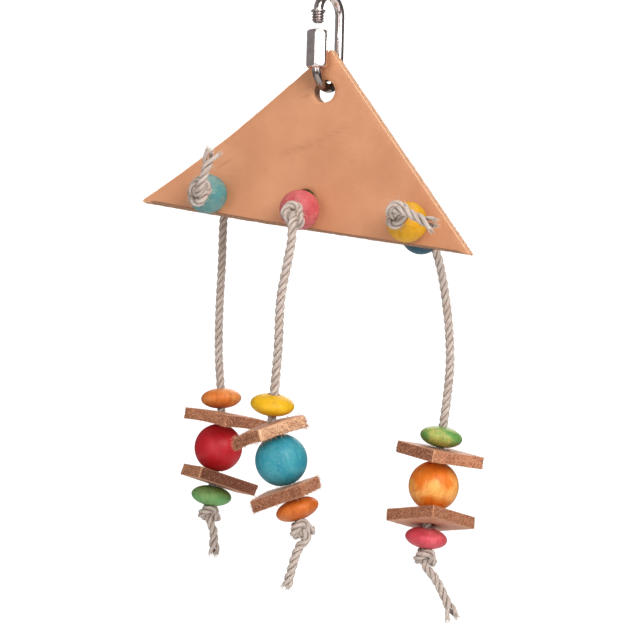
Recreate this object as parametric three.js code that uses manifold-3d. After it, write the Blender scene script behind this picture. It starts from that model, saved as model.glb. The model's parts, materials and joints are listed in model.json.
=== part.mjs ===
// Hanging leather chew toy for a bird cage.
// A steel quick link carries a leather triangle, and three knotted ropes hang from the triangle,
// each strung with wooden discs, leather squares and a wooden ball.
// Millimetres, +Z up, the leather's front faces -Y, and the origin is the top of the inside of the link.

import * as THREE from 'three';
import { mergeVertices } from 'three/addons/utils/BufferGeometryUtils.js';
import Module from 'manifold-3d';

const wasm = await Module();
wasm.setup();

// Running gap between pieces that touch
const CLEARANCE = 0.3;

// Quick link and its sleeve
const ROD_DIAMETER = 4.8;
const BOW_RADIUS = 9.5;            // centreline of each round end
const LINK_INNER_LENGTH = 41.3;
const LINK_YAW = -9;               // degrees about +Z
const THREAD_DIAMETER = 6;
const THREAD_PITCH = 1.35;
const THREAD_RIDGES = 4;
const COLLAR_DIAMETER = 7.2;
const COLLAR_LENGTH = 1;
const GATE_GAP = 3.3;              // open gap between the threaded end and the sleeve
const SLEEVE_LENGTH = 19.2;
const SLEEVE_FLATS = 10;
const SLEEVE_TURN = -6.5;          // degrees, which way a flat faces
const ROD_HELD_BACK = 0.6;         // how far the lower rod's end lies below the sleeve's rim
const LOWER_THREAD_LENGTH = 8;     // thread on that end, inside the sleeve

// Leather triangle, half of a square cut on its diagonal
const LEATHER_THICKNESS = 6;
const PLATE_LEG = 128;
const PLATE_TILT = 7.5;            // degrees, right side down
const APEX_ABOVE_HOLE = 20.7;
const HOLE_DIAMETER = 12;
const REST_GAP = 0.5;              // between the rod and the rim of the apex hole that rests on it
const CURL_START = 45;             // distance from the apex along the left edge
const CURL_FORWARD = 9;            // how far the left corner comes forward
const CURL_LIFT = 1.3;             // how far it rises
const PLATE_GRID = 12;

// Rope
const ROPE_DIAMETER = 4.5;
const ROPE_SIDES = 8;
const KNOT_STRAND = 2.9;           // the rope is squeezed thinner in a knot
const KNOT_SIDES = 6;
const KNOT_STEPS = 24;
const KNOT_RADIUS = 3.75;
const KNOT_SWELL = 1.8;            // in and out, across the knot's axis
const KNOT_RISE = 2.4;             // up and down, along it
const KNOT_LEAD = 5;               // from the knot's middle to the full rope
const TIED_END = 4.4;              // from the last knot's middle to the rounded end of the tied rope
const SWING_REACH = 8.7;           // from that knot's middle to the point that the strand swings about
const STRAND_STEPS = 22;
const TAIL_STEPS = 8;

// Wooden beads, balls and discs, and leather squares
const BEAD_DIAMETER = 20;
const BEAD_BORE = 5.2;
const STACK_BORE = 5.8;
const BALL_DIAMETER = 25.4;
const DISC_DIAMETER = 21.4;
const DISC_THICKNESS = 10.8;
const SQUARE_BORE = 7.2;
const SETTLE_ALLOWANCE = 2;        // degrees, more than a square's lean and nod, kept free beside it

// Facets of the round forms
const ROD_SIDES = 12;
const THREAD_SIDES = 16;
const HOLE_SIDES = 20;
const SQUARE_BORE_SIDES = 12;
const ROPE_END_SIDES = 10;
const BEAD_SIDES = 14;
const BEAD_ARC_STEPS = 9;
const STACK_SIDES = 16;
const BALL_ARC_STEPS = 10;
const DISC_ARC_STEPS = 8;

// Strand holes: in from the nearest corner along the long edge, or across from its middle, and up from it
const LEFT_HOLE_IN = 36;
const LEFT_HOLE_UP = 10.8;
const MIDDLE_HOLE_ACROSS = -4;
const MIDDLE_HOLE_UP = 13;
const RIGHT_HOLE_IN = 33;
const RIGHT_HOLE_UP = 9.2;

// Sides of the leather squares, and the bare rope above each upper square
const LEFT_SQUARE_SIDE = 33.2;
const MIDDLE_SQUARE_SIDE = 28.6;
const RIGHT_SQUARE_SIDE = 32.4;
const LEFT_TOP_GAP = 1.6;
const MIDDLE_TOP_GAP = 2.9;
const RIGHT_TOP_GAP = 0.5;

// Each strand's hole in the leather, the way its beads point, and its route.
// hole: across from the middle of the long edge, and up from that edge.
// yaw and pitch: degrees, the way the front bead points away from straight forward.
// spins, leans and nods: degrees, of the upper and the lower square.
// asides: how far each square's middle lies to the right of its bore.
// route: points of the hanging rope from its swing point. tail and end: from the knot before them.
const halfEdge = PLATE_LEG * Math.SQRT1_2;
const STRANDS = [
  {
    name: 'left',
    hole: [LEFT_HOLE_IN - halfEdge, LEFT_HOLE_UP],
    yaw: 16,
    pitch: 0,
    hangs: 'back',
    squareSide: LEFT_SQUARE_SIDE,
    spins: [-17, -43],
    leans: [4.3, 5],
    nods: [-2.5, -9],
    asides: [3.7, 3],
    topGap: LEFT_TOP_GAP,
    tail: [[3, -8, 3], [5.5, -8.5, 8], [8, -7.5, 14], [10.5, -6, 19.5]],
    route: [
      [0, 0, 0], [-2.1, 0.9, -4.7], [-3.8, 1.7, -12.6], [-5, 3.3, -35], [-5.9, 3.5, -61.2], [-5, 2.7, -85.2],
      [-2.9, 1.9, -102.2], [-2, 1.4, -112.2], [-2, 0.6, -125.2], [-3.1, -0.6, -142.2], [-4.5, -1.9, -156.7],
      [-5.1, -2.5, -163.2],
    ],
    end: [[1.7, -0.5, -9.5], [3.9, -1, -22]],
  },
  {
    name: 'middle',
    hole: [MIDDLE_HOLE_ACROSS, MIDDLE_HOLE_UP],
    yaw: 20,
    pitch: -12,
    hangs: 'front',
    squareSide: MIDDLE_SQUARE_SIDE,
    spins: [-31, 8],
    leans: [-3.3, 2.3],
    nods: [3.1, 3.7],
    asides: [-2, -3.4],
    topGap: MIDDLE_TOP_GAP,
    tail: [[-1.5, 7.5, -2], [-2, 8.5, -7], [-1.5, 7.5, -15]],
    route: [
      [0, 0, 0], [0.6, -1.6, -4.2], [1.2, -2.9, -10.4], [0.1, -3.8, -19.2], [-3.3, -4.2, -39.3],
      [-4.3, -3.4, -61.3], [-6.3, -2.4, -83], [-7.6, -1.8, -91.3], [-8, -1.2, -97.9],
      [-7.2, -0.7, -103.4], [-3.6, 0.3, -115.4], [1.8, 1.4, -130.6], [7.2, 2.3, -144.7],
    ],
    end: [[-0.1, 0, -10], [-5.1, 0, -30]],
  },
  {
    name: 'right',
    hole: [halfEdge - RIGHT_HOLE_IN, RIGHT_HOLE_UP],
    yaw: 6,
    pitch: 11,
    hangs: 'back',
    squareSide: RIGHT_SQUARE_SIDE,
    spins: [-31.4, -20],
    leans: [2.8, -8.4],
    nods: [1.2, -12.4],
    asides: [0.8, 1],
    topGap: RIGHT_TOP_GAP,
    tail: [[2, -7.8, 2], [6.5, -9, 1.5], [13, -8.5, -1.5], [20.5, -7.5, -5]],
    route: [
      [0, 0, 0], [1.5, 1, -3.5], [3.9, 2.6, -12.5], [5.9, 3.5, -23.5], [8.4, 4.4, -42], [9.6, 4.2, -60],
      [8.7, 3.2, -79], [7.2, 2.1, -94], [6.3, 1.4, -102], [5.1, 0.4, -114], [3.2, -0.9, -132],
      [1.7, -1.9, -147.5], [1.1, -2.3, -152.9],
    ],
    end: [[3.5, -0.5, -10], [15.4, -0.5, -30]],
  },
];

// Colours by piece
const STEEL = 0xc9ccd0;
const LEATHER = 0xd6996f;
const LEATHER_CUT = 0xb67d5e;
const ROPE = 0xbeac9c;
const BEAD_COLOURS = {
  left: { front: 0x4b8c87, back: 0xc9a227 },
  middle: { front: 0xc84655, back: 0x64964b },
  right: { front: 0xe8b818, back: 0x236e82 },
};
const STACK_COLOURS = {
  left: { top: 0xe07d37, ball: 0xbe2837, bottom: 0x64964b },
  middle: { top: 0xebb914, ball: 0x3296b4, bottom: 0xe07d37 },
  right: { top: 0x64964b, ball: 0xe6822d, bottom: 0xd74655 },
};

const degrees = THREE.MathUtils.degToRad;
const vector = (x, y, z) => new THREE.Vector3(x, y, z);
const UP = vector(0, 0, 1);

// A path with one ring of its tube at each given point
class Route extends THREE.Curve {
  constructor(points) {
    super();
    this.points = points;
  }

  getPoint(t, target = vector(0, 0, 0)) {
    const last = this.points.length - 1;
    const index = Math.min(Math.floor(t * last + 1e-9), last - 1);
    return target.lerpVectors(this.points[index], this.points[index + 1], t * last - index);
  }

  getPointAt(u, target) {
    return this.getPoint(u, target);
  }

  getTangentAt(u, target = vector(0, 0, 0)) {
    const last = this.points.length - 1;
    const index = Math.round(u * last);
    const before = this.points[Math.max(index - 1, 0)];
    const after = this.points[Math.min(index + 1, last)];
    return target.subVectors(after, before).normalize();
  }
}

// Solid helpers
function closedCopy(geometry) {
  const bare = geometry.clone();
  bare.deleteAttribute('normal');
  bare.deleteAttribute('uv');
  return mergeVertices(bare, 1e-4);
}

function toSolid(geometry) {
  const merged = closedCopy(geometry);
  return new wasm.Manifold(new wasm.Mesh({
    numProp: 3,
    vertProperties: new Float32Array(merged.attributes.position.array),
    triVerts: new Uint32Array(merged.index.array),
  }));
}

function fromSolid(solid) {
  const mesh = solid.getMesh();
  const geometry = new THREE.BufferGeometry();
  geometry.setAttribute('position', new THREE.BufferAttribute(new Float32Array(mesh.vertProperties), 3));
  geometry.setIndex(new THREE.BufferAttribute(new Uint32Array(mesh.triVerts), 1));
  geometry.computeVertexNormals();
  return geometry;
}

function join(geometries) {
  return fromSolid(geometries.map(toSolid).reduce((whole, part) => whole.add(part)));
}

function cut(geometry, tools) {
  return fromSolid(tools.map(toSolid).reduce((whole, tool) => whole.subtract(tool), toSolid(geometry)));
}

function ringShape(radius, sides) {
  const shape = new THREE.Shape();
  for (let i = 0; i < sides; i += 1) {
    const angle = (2 * Math.PI * i) / sides;
    const step = i === 0 ? 'moveTo' : 'lineTo';
    shape[step](radius * Math.cos(angle), radius * Math.sin(angle));
  }
  shape.closePath();
  return shape;
}

function tube(points, diameter, sides) {
  return new THREE.ExtrudeGeometry(ringShape(diameter / 2, sides), {
    steps: points.length - 1,
    extrudePath: new Route(points),
    bevelEnabled: false,
  });
}

function ballAt(point, diameter) {
  const geometry = new THREE.SphereGeometry(diameter / 2, ROPE_END_SIDES, ROPE_END_SIDES);
  return geometry.translate(point.x, point.y, point.z);
}

function lathe(profile, segments) {
  const points = profile.map(([radius, height]) => new THREE.Vector2(radius, height));
  return new THREE.LatheGeometry(points, segments).rotateX(Math.PI / 2);
}

// A turned bead, flattened or round, with a bore along its axis
function turnedBead(diameter, thickness, bore, arcSteps, segments) {
  const edge = Math.acos(bore / diameter);
  const profile = [];
  for (let i = 0; i <= arcSteps; i += 1) {
    const angle = -edge + (2 * edge * i) / arcSteps;
    profile.push([(diameter / 2) * Math.cos(angle), (thickness / 2) * Math.sin(angle)]);
  }
  profile.push(profile[0]);
  return lathe(profile, segments);
}

// A leather square whose middle lies aside of its bore
function leatherSquare(side, middleX, middleY) {
  const shape = new THREE.Shape();
  shape.moveTo(middleX - side / 2, middleY - side / 2);
  shape.lineTo(middleX + side / 2, middleY - side / 2);
  shape.lineTo(middleX + side / 2, middleY + side / 2);
  shape.lineTo(middleX - side / 2, middleY + side / 2);
  shape.closePath();
  shape.holes.push(new THREE.Path().absarc(0, 0, SQUARE_BORE / 2, 0, 2 * Math.PI, true));
  const geometry = new THREE.ExtrudeGeometry(shape, {
    depth: LEATHER_THICKNESS,
    bevelEnabled: false,
    curveSegments: SQUARE_BORE_SIDES,
  });
  return geometry.translate(0, 0, -LEATHER_THICKNESS / 2);
}

function material(colour, roughness, metalness = 0) {
  return new THREE.MeshStandardMaterial({ color: colour, roughness, metalness });
}

function piece(name, geometry, colour, roughness, metalness) {
  const mesh = new THREE.Mesh(geometry, material(colour, roughness, metalness));
  mesh.name = name;
  return mesh;
}

const toy = new THREE.Group();
toy.name = 'leather_chew_toy';

// Quick link: a rod bent into a long loop with an open side
const rodRadius = ROD_DIAMETER / 2;
const upperBow = rodRadius - BOW_RADIUS;
const rodLow = -LINK_INNER_LENGTH - rodRadius;
const lowerBow = rodLow + BOW_RADIUS;
const collarTop = upperBow + COLLAR_LENGTH;
const threadTop = upperBow;
const threadBottom = threadTop - THREAD_RIDGES * THREAD_PITCH;
const sleeveTop = threadBottom - GATE_GAP;
const BOW_STEPS = 10;

function bowPoints(middle, from, to) {
  const points = [];
  for (let i = 0; i <= BOW_STEPS; i += 1) {
    const angle = from + ((to - from) * i) / BOW_STEPS;
    points.push(vector(0, -BOW_RADIUS * Math.cos(angle), middle + BOW_RADIUS * Math.sin(angle)));
  }
  return points;
}

function quickLink() {
  const rod = tube([
    vector(0, -BOW_RADIUS, threadBottom + THREAD_PITCH),
    ...bowPoints(upperBow, 0, Math.PI),
    ...bowPoints(lowerBow, Math.PI, 2 * Math.PI),
    vector(0, -BOW_RADIUS, sleeveTop - ROD_HELD_BACK - LOWER_THREAD_LENGTH / 2),
  ], ROD_DIAMETER, ROD_SIDES);
  const root = THREAD_DIAMETER / 2 - THREAD_PITCH / 2;
  const crest = THREAD_DIAMETER / 2;
  const profile = [[0, threadBottom], [root, threadBottom]];
  for (let i = 0; i < THREAD_RIDGES; i += 1) {
    const ridge = threadBottom + THREAD_PITCH * i;
    profile.push([crest, ridge + THREAD_PITCH / 2], [root, ridge + THREAD_PITCH]);
  }
  profile.push([COLLAR_DIAMETER / 2, threadTop], [COLLAR_DIAMETER / 2, collarTop], [0, collarTop]);
  const stub = lathe(profile, THREAD_SIDES).translate(0, -BOW_RADIUS, 0);
  const heldTop = sleeveTop - ROD_HELD_BACK;
  const heldBottom = heldTop - LOWER_THREAD_LENGTH;
  const heldProfile = [[0, heldBottom], [crest, heldBottom], [crest, heldTop], [0, heldTop]];
  const held = lathe(heldProfile, THREAD_SIDES).translate(0, -BOW_RADIUS, 0);
  return join([rod, stub, held]);
}

// Hexagonal sleeve, run down its thread so that the link stands open
function linkSleeve() {
  const shape = ringShape(SLEEVE_FLATS / 2 / Math.cos(Math.PI / 6), 6);
  const bore = THREAD_DIAMETER / 2 + CLEARANCE;
  shape.holes.push(new THREE.Path().absarc(0, 0, bore, 0, 2 * Math.PI, true));
  const geometry = new THREE.ExtrudeGeometry(shape, {
    depth: SLEEVE_LENGTH,
    bevelEnabled: false,
    curveSegments: THREAD_SIDES,
  });
  geometry.rotateZ(degrees(SLEEVE_TURN));
  return geometry.translate(0, -BOW_RADIUS, sleeveTop - SLEEVE_LENGTH);
}

const link = new THREE.Group();
link.rotation.z = degrees(LINK_YAW);
link.add(piece('quick_link', quickLink(), STEEL, 0.2, 1));
link.add(piece('link_sleeve', linkSleeve(), STEEL, 0.22, 1));
toy.add(link);

// Leather triangle, in its own plane about the apex hole, with its left corner curled
const legStep = Math.SQRT1_2;
const leftward = vector(-legStep, 0, -legStep);
const rightward = vector(legStep, 0, -legStep);

function curlShare(alongLeft) {
  return Math.max(0, alongLeft - CURL_START) / (PLATE_LEG - CURL_START);
}

function platePoint(alongLeft, alongRight) {
  const share = curlShare(alongLeft) ** 2;
  return vector(0, -CURL_FORWARD * share, APEX_ABOVE_HOLE + CURL_LIFT * share)
    .addScaledVector(leftward, alongLeft)
    .addScaledVector(rightward, alongRight);
}

// Direction square to the leather, towards its front
function plateFront(alongLeft) {
  const slope = (2 * curlShare(alongLeft)) / (PLATE_LEG - CURL_START);
  const downLeft = leftward.clone().add(vector(0, -CURL_FORWARD * slope, CURL_LIFT * slope));
  return downLeft.cross(rightward).normalize();
}

// Where a point lies on the leather, and which way is square to it
function onPlate([across, up]) {
  const flat = vector(across, 0, up - halfEdge);
  const alongLeft = flat.dot(leftward);
  return { middle: platePoint(alongLeft, flat.dot(rightward)), front: plateFront(alongLeft) };
}

function plateSheet() {
  const positions = [];
  const faces = [];
  const rowStart = [];
  for (let i = 0; i <= PLATE_GRID; i += 1) {
    rowStart.push(positions.length / 6);
    for (let j = 0; j <= PLATE_GRID - i; j += 1) {
      const middle = platePoint((PLATE_LEG * i) / PLATE_GRID, (PLATE_LEG * j) / PLATE_GRID);
      const half = plateFront((PLATE_LEG * i) / PLATE_GRID).multiplyScalar(LEATHER_THICKNESS / 2);
      const front = middle.clone().add(half);
      const back = middle.clone().sub(half);
      positions.push(front.x, front.y, front.z, back.x, back.y, back.z);
    }
  }
  const front = (i, j) => 2 * (rowStart[i] + j);
  const back = (i, j) => front(i, j) + 1;
  const wall = (from, to) => {
    const [a, b] = [front(...from), front(...to)];
    faces.push(a, a + 1, b, b, a + 1, b + 1);
  };
  for (let i = 0; i < PLATE_GRID; i += 1) {
    for (let j = 0; j < PLATE_GRID - i; j += 1) {
      faces.push(front(i, j), front(i + 1, j), front(i, j + 1));
      faces.push(back(i, j), back(i, j + 1), back(i + 1, j));
      if (j < PLATE_GRID - i - 1) {
        faces.push(front(i + 1, j), front(i + 1, j + 1), front(i, j + 1));
        faces.push(back(i + 1, j), back(i, j + 1), back(i + 1, j + 1));
      }
    }
    wall([i, 0], [i + 1, 0]);
    wall([0, i + 1], [0, i]);
    wall([i + 1, PLATE_GRID - i - 1], [i, PLATE_GRID - i]);
  }
  const geometry = new THREE.BufferGeometry();
  geometry.setAttribute('position', new THREE.BufferAttribute(new Float32Array(positions), 3));
  geometry.setIndex(faces);
  return geometry;
}

function punch({ middle, front }) {
  const radius = HOLE_DIAMETER / 2;
  const tool = new THREE.CylinderGeometry(radius, radius, 4 * LEATHER_THICKNESS, HOLE_SIDES);
  tool.applyQuaternion(new THREE.Quaternion().setFromUnitVectors(vector(0, 1, 0), front));
  return tool.translate(middle.x, middle.y, middle.z);
}

const plate = new THREE.Group();
const rodAtFaces = lowerBow - Math.sqrt((BOW_RADIUS - rodRadius) ** 2 - (LEATHER_THICKNESS / 2) ** 2);
plate.position.z = rodAtFaces + REST_GAP - HOLE_DIAMETER / 2;
plate.rotation.y = degrees(PLATE_TILT);
const apexHole = [0, halfEdge - APEX_ABOVE_HOLE];
const punches = [apexHole, ...STRANDS.map((strand) => strand.hole)].map((hole) => punch(onPlate(hole)));
plate.add(piece('leather_plate', cut(plateSheet(), punches), LEATHER, 0.55));
toy.add(plate);
toy.updateMatrixWorld(true);

// Overhand knot, entered from its near side and left on its far side.
// The rope goes twice round its axis while it winds three times about the loop it makes.
function knotPoints(middle, forward) {
  const points = [vector(0, 0, KNOT_LEAD + 1), vector(0, 0, KNOT_LEAD)];
  for (let i = 0; i <= KNOT_STEPS; i += 1) {
    const t = Math.PI / 3 + ((4 * Math.PI) / 3) * (i / KNOT_STEPS);
    const radius = KNOT_RADIUS + KNOT_SWELL * Math.cos(3 * t);
    points.push(vector(radius * Math.cos(2 * t), radius * Math.sin(2 * t), KNOT_RISE * Math.sin(3 * t)));
  }
  points.push(vector(0, 0, -KNOT_LEAD), vector(0, 0, -KNOT_LEAD - 1));
  const turn = new THREE.Quaternion().setFromUnitVectors(UP, forward.clone().negate());
  return points.map((point) => point.applyQuaternion(turn).add(middle));
}

// Least gap between stretches of one knot that lie apart along its rope
const STEPS_APART = 6;

function leastGap(points) {
  let least = Infinity;
  points.forEach((a, i) => {
    points.slice(i + STEPS_APART).forEach((b) => {
      least = Math.min(least, a.distanceTo(b));
    });
  });
  return least - KNOT_STRAND;
}

function smooth(points, steps) {
  return new THREE.CatmullRomCurve3(points).getSpacedPoints(steps);
}

const fromList = (list, start) => list.map(([x, y, z]) => vector(x, y, z).add(start));

// Distance from the middle of a hole to a bead that sits in its rim, along the bead's own axis
function beadSeat(out, front) {
  const cosine = Math.abs(out.dot(front));
  const slope = Math.sqrt(1 - cosine ** 2) / cosine;
  const rim = HOLE_DIAMETER / 2;
  const half = LEATHER_THICKNESS / 2;
  const reach = BEAD_DIAMETER / 2 + CLEARANCE;
  const a = 1 + slope ** 2;
  const b = rim * slope + half;
  const c = rim ** 2 + half ** 2 - reach ** 2;
  const depth = (b + Math.sqrt(b ** 2 - a * c)) / a;
  return depth / cosine;
}

// Distance from a bead's middle to the middle of the knot that rests on it
const knotReach = BEAD_DIAMETER / 2 + KNOT_STRAND / 2 + CLEARANCE;
const knotSeat = Math.sqrt(knotReach ** 2 - KNOT_RADIUS ** 2) + KNOT_RISE;

// How far a disc reaches towards a square that leans by an angle
function discReach(lean) {
  return Math.hypot((DISC_THICKNESS / 2) * Math.cos(lean), (DISC_DIAMETER / 2) * Math.sin(lean));
}

// The tied part of a rope: tail, knot, through both beads, knot, and a short end to the swing point
function tiedRope(strand, hole, out, seat) {
  const tailKnot = hole.middle.clone().addScaledVector(out, -seat - knotSeat);
  const lastKnot = hole.middle.clone().addScaledVector(out, seat + knotSeat);
  const turnBack = new THREE.Quaternion().setFromAxisAngle(vector(0, 1, 0), -plate.rotation.y);
  const tail = strand.tail.map(([x, y, z]) => vector(x, y, z).applyQuaternion(turnBack).add(tailKnot));
  const tailStart = tailKnot.clone().addScaledVector(out, -KNOT_LEAD);
  const throughStart = tailKnot.clone().addScaledVector(out, KNOT_LEAD);
  const throughEnd = lastKnot.clone().addScaledVector(out, -KNOT_LEAD);
  const roundEnd = lastKnot.clone().addScaledVector(out, TIED_END);
  const lastPath = knotPoints(lastKnot, out).slice(0, -2);
  lastPath.push(roundEnd);
  return join([
    tube(smooth([tailStart, ...tail], TAIL_STEPS), ROPE_DIAMETER, ROPE_SIDES),
    tube(knotPoints(tailKnot, out), KNOT_STRAND, KNOT_SIDES),
    tube([throughStart, throughEnd], ROPE_DIAMETER, ROPE_SIDES),
    tube(lastPath, KNOT_STRAND, KNOT_SIDES),
    ballAt(roundEnd, KNOT_STRAND),
  ]);
}

// The hanging part of a rope, from its swing point down to the stopper knot and its tail
function hangingRope(strand, route, stopper, down) {
  const tailStart = stopper.clone().addScaledVector(down, KNOT_LEAD);
  return join([
    ballAt(vector(0, 0, 0), ROPE_DIAMETER),
    tube(route.getSpacedPoints(STRAND_STEPS), ROPE_DIAMETER, ROPE_SIDES),
    tube(knotPoints(stopper, down), KNOT_STRAND, KNOT_SIDES),
    tube(smooth([tailStart, ...fromList(strand.end, stopper)], TAIL_STEPS), ROPE_DIAMETER, ROPE_SIDES),
  ]);
}

// Places a piece on the rope, a distance up from the stopper knot, leaning and turned about its own axis
function onRope(mesh, route, up, lean = 0, nod = 0, spin = 0) {
  const share = 1 - (up - KNOT_LEAD) / route.getLength();
  const axis = route.getTangentAt(share).negate();
  axis.applyEuler(new THREE.Euler(degrees(nod), degrees(lean), 0));
  mesh.position.copy(route.getPointAt(share));
  mesh.quaternion.setFromUnitVectors(UP, axis);
  mesh.rotateZ(degrees(spin));
  return mesh;
}

for (const strand of STRANDS) {
  const { name } = strand;
  const hole = onPlate(strand.hole);
  const pointing = new THREE.Euler(-degrees(strand.pitch), 0, degrees(strand.yaw), 'ZXY');
  const forward = vector(0, -1, 0).applyEuler(pointing);
  const out = strand.hangs === 'front' ? forward.clone() : forward.clone().negate();
  const seat = beadSeat(out, hole.front);

  for (const [side, way] of [['front', seat], ['back', -seat]]) {
    const bead = turnedBead(BEAD_DIAMETER, BEAD_DIAMETER, BEAD_BORE, BEAD_ARC_STEPS, BEAD_SIDES);
    const mesh = piece(`${name}_${side}_bead`, bead, BEAD_COLOURS[name][side], 0.4);
    mesh.position.copy(hole.middle).addScaledVector(forward, way);
    mesh.quaternion.setFromUnitVectors(UP, forward);
    plate.add(mesh);
  }
  plate.add(piece(`${name}_tied_rope`, tiedRope(strand, hole, out, seat), ROPE, 0.9));

  const swingPoint = hole.middle.clone().addScaledVector(out, seat + knotSeat + SWING_REACH);
  const hanging = new THREE.Group();
  hanging.position.copy(plate.localToWorld(swingPoint));
  const route = new THREE.CatmullRomCurve3(fromList(strand.route, vector(0, 0, 0)));
  const down = route.getTangentAt(1);
  const stopper = route.getPointAt(1).addScaledVector(down, KNOT_LEAD);
  hanging.add(piece(`${name}_hanging_rope`, hangingRope(strand, route, stopper, down), ROPE, 0.9));

  const colours = STACK_COLOURS[name];
  const [upperLean, lowerLean] = strand.leans;
  const [upperNod, lowerNod] = strand.nods;
  const [upperSpin, lowerSpin] = strand.spins;
  const half = LEATHER_THICKNESS / 2;
  const settle = (lean, nod) => degrees(Math.hypot(lean, nod) + SETTLE_ALLOWANCE);
  const lowerSettle = settle(lowerLean, lowerNod);
  const upperSettle = settle(upperLean, upperNod);
  const ballStep = BALL_DIAMETER / 2 + half + CLEARANCE;

  const bottomDisc = KNOT_RISE + KNOT_STRAND / 2 + CLEARANCE + DISC_THICKNESS / 2;
  const lowerSquare = bottomDisc + (discReach(lowerSettle) + half + CLEARANCE) / Math.cos(lowerSettle);
  const ball = lowerSquare + ballStep / Math.cos(lowerSettle);
  const upperSquare = ball + ballStep / Math.cos(upperSettle);
  const topDisc = upperSquare + (discReach(upperSettle) + half) / Math.cos(upperSettle) + strand.topGap;

  const disc = () => turnedBead(DISC_DIAMETER, DISC_THICKNESS, STACK_BORE, DISC_ARC_STEPS, STACK_SIDES);
  const roundBall = turnedBead(BALL_DIAMETER, BALL_DIAMETER, STACK_BORE, BALL_ARC_STEPS, STACK_SIDES);
  const square = (aside, spin) => leatherSquare(
    strand.squareSide,
    aside * Math.cos(degrees(spin)),
    -aside * Math.sin(degrees(spin)),
  );
  const [upperAside, lowerAside] = strand.asides;
  hanging.add(onRope(piece(`${name}_top_disc`, disc(), colours.top, 0.4), route, topDisc));
  hanging.add(onRope(
    piece(`${name}_upper_square`, square(upperAside, upperSpin), LEATHER_CUT, 0.7),
    route, upperSquare, upperLean, upperNod, upperSpin,
  ));
  hanging.add(onRope(piece(`${name}_ball`, roundBall, colours.ball, 0.4), route, ball));
  hanging.add(onRope(
    piece(`${name}_lower_square`, square(lowerAside, lowerSpin), LEATHER_CUT, 0.7),
    route, lowerSquare, lowerLean, lowerNod, lowerSpin,
  ));
  hanging.add(onRope(piece(`${name}_bottom_disc`, disc(), colours.bottom, 0.4), route, bottomDisc));
  toy.add(hanging);
}

const knotGap = leastGap(knotPoints(vector(0, 0, 0), vector(0, 0, -1)));
console.log(`least gap inside a knot: ${knotGap.toFixed(2)} mm`);

export default toy;
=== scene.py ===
# The looks of a hanging leather chew toy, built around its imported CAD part.
# Metres, +Z up, the leather's grain side faces -Y.

import json
import math
import random

import bmesh
import bpy
import numpy as np
from mathutils import Matrix, Vector, noise
from mathutils.geometry import delaunay_2d_cdt


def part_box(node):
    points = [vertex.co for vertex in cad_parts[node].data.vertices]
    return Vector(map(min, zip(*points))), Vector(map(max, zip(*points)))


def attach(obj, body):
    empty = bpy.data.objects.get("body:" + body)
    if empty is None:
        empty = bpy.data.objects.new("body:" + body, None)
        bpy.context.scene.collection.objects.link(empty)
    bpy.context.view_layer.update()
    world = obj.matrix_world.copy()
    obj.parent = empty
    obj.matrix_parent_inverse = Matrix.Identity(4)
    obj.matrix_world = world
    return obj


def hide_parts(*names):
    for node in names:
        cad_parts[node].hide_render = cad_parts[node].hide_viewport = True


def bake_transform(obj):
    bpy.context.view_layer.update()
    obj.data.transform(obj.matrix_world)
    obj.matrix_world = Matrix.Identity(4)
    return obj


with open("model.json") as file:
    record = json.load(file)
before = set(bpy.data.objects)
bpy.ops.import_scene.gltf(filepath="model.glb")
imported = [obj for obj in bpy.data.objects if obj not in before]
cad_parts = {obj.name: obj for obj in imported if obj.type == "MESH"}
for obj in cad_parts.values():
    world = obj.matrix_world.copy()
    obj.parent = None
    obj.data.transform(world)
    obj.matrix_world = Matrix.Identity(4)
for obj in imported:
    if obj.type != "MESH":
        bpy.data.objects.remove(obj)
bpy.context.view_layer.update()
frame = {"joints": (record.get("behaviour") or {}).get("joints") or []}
joints = {joint["name"]: joint for joint in frame["joints"]}

MM = 0.001
UP = Vector((0, 0, 1))

# Camera, set by the photograph's viewing angle
VIEW_AZIMUTH = math.radians(26)
VIEW_ROLL = math.radians(1.5)
VIEW_DISTANCE = 0.95
VIEW_HEIGHT = -0.15978
VIEW_ASIDE = -0.00059
LENS = 106.875

# Rope
ROPE_DIAMETER = 0.0045
STRAND_RADIUS = 0.00108
LAY_RADIUS = 0.00119
LAY_PITCH = 0.0125
STRAND_SIDES = 14
ROPE_STEP = 0.0004
SPAN_STEPS = 30                     # points between two given ones, before the even steps are taken
SPLIT_LENGTH = 0.009                # how far from a cut end the strands part
SPLIT_SPREAD = 1.5
SPLIT_EASE = 1.4                    # power of the way to the end by which they part
SPLIT_SLACK = 0.85                  # share of the lay that is lost where they part
STRAND_PARTING = (0.6, 1.0, 1.35)   # how far each strand parts from the others
KNOT_SQUEEZE = 0.94
KNOT_RADIUS = 0.00375
KNOT_SWELL = 0.0018
KNOT_RISE = 0.0024
KNOT_LEAD = 0.005
KNOT_STEPS = 24
KNOT_TRIM = 2                       # steps left out at each end of a knot, for an easy way in
KNOT_SEAT = 0.01353                 # from a bead's middle to the knot that rests on it
KNOT_REACH = 0.006                  # from a knot's middle to where the rope fills out again
KNOT_FADE = 0.004
BEND_OUT = 0.0022                   # where a hanging rope turns down, past the lead of its knot
BEND_DROP = 0.0008
BLEND_ABOVE = 0.002                 # points from here above its knot to here below its swing point, worked out but not used
BLEND_BELOW = 0.008

# Hairs on ropes and cut edges: their form as shares of their length, then their kinds in metres
HAIR_FOOT = (0, 0, -0.05)
HAIR_BEND = (0.08, 0.02, 0.5)
HAIR_TIP = (0.4, -0.1, 0.95)
HAIR_TAPER = 0.75
HAIR_SHORTEST = 0.35
ROPE_FUZZ = {"Density": 3.2e5, "Length": 0.0034, "Radius": 0.00005, "Lean": 1.1}
PLATE_FUZZ = {"Density": 1.1e6, "Length": 0.0009, "Radius": 0.00005, "Lean": 0.8}
SQUARE_FUZZ = {"Radius": 0.00008, "Lean": 0.9}

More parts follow.
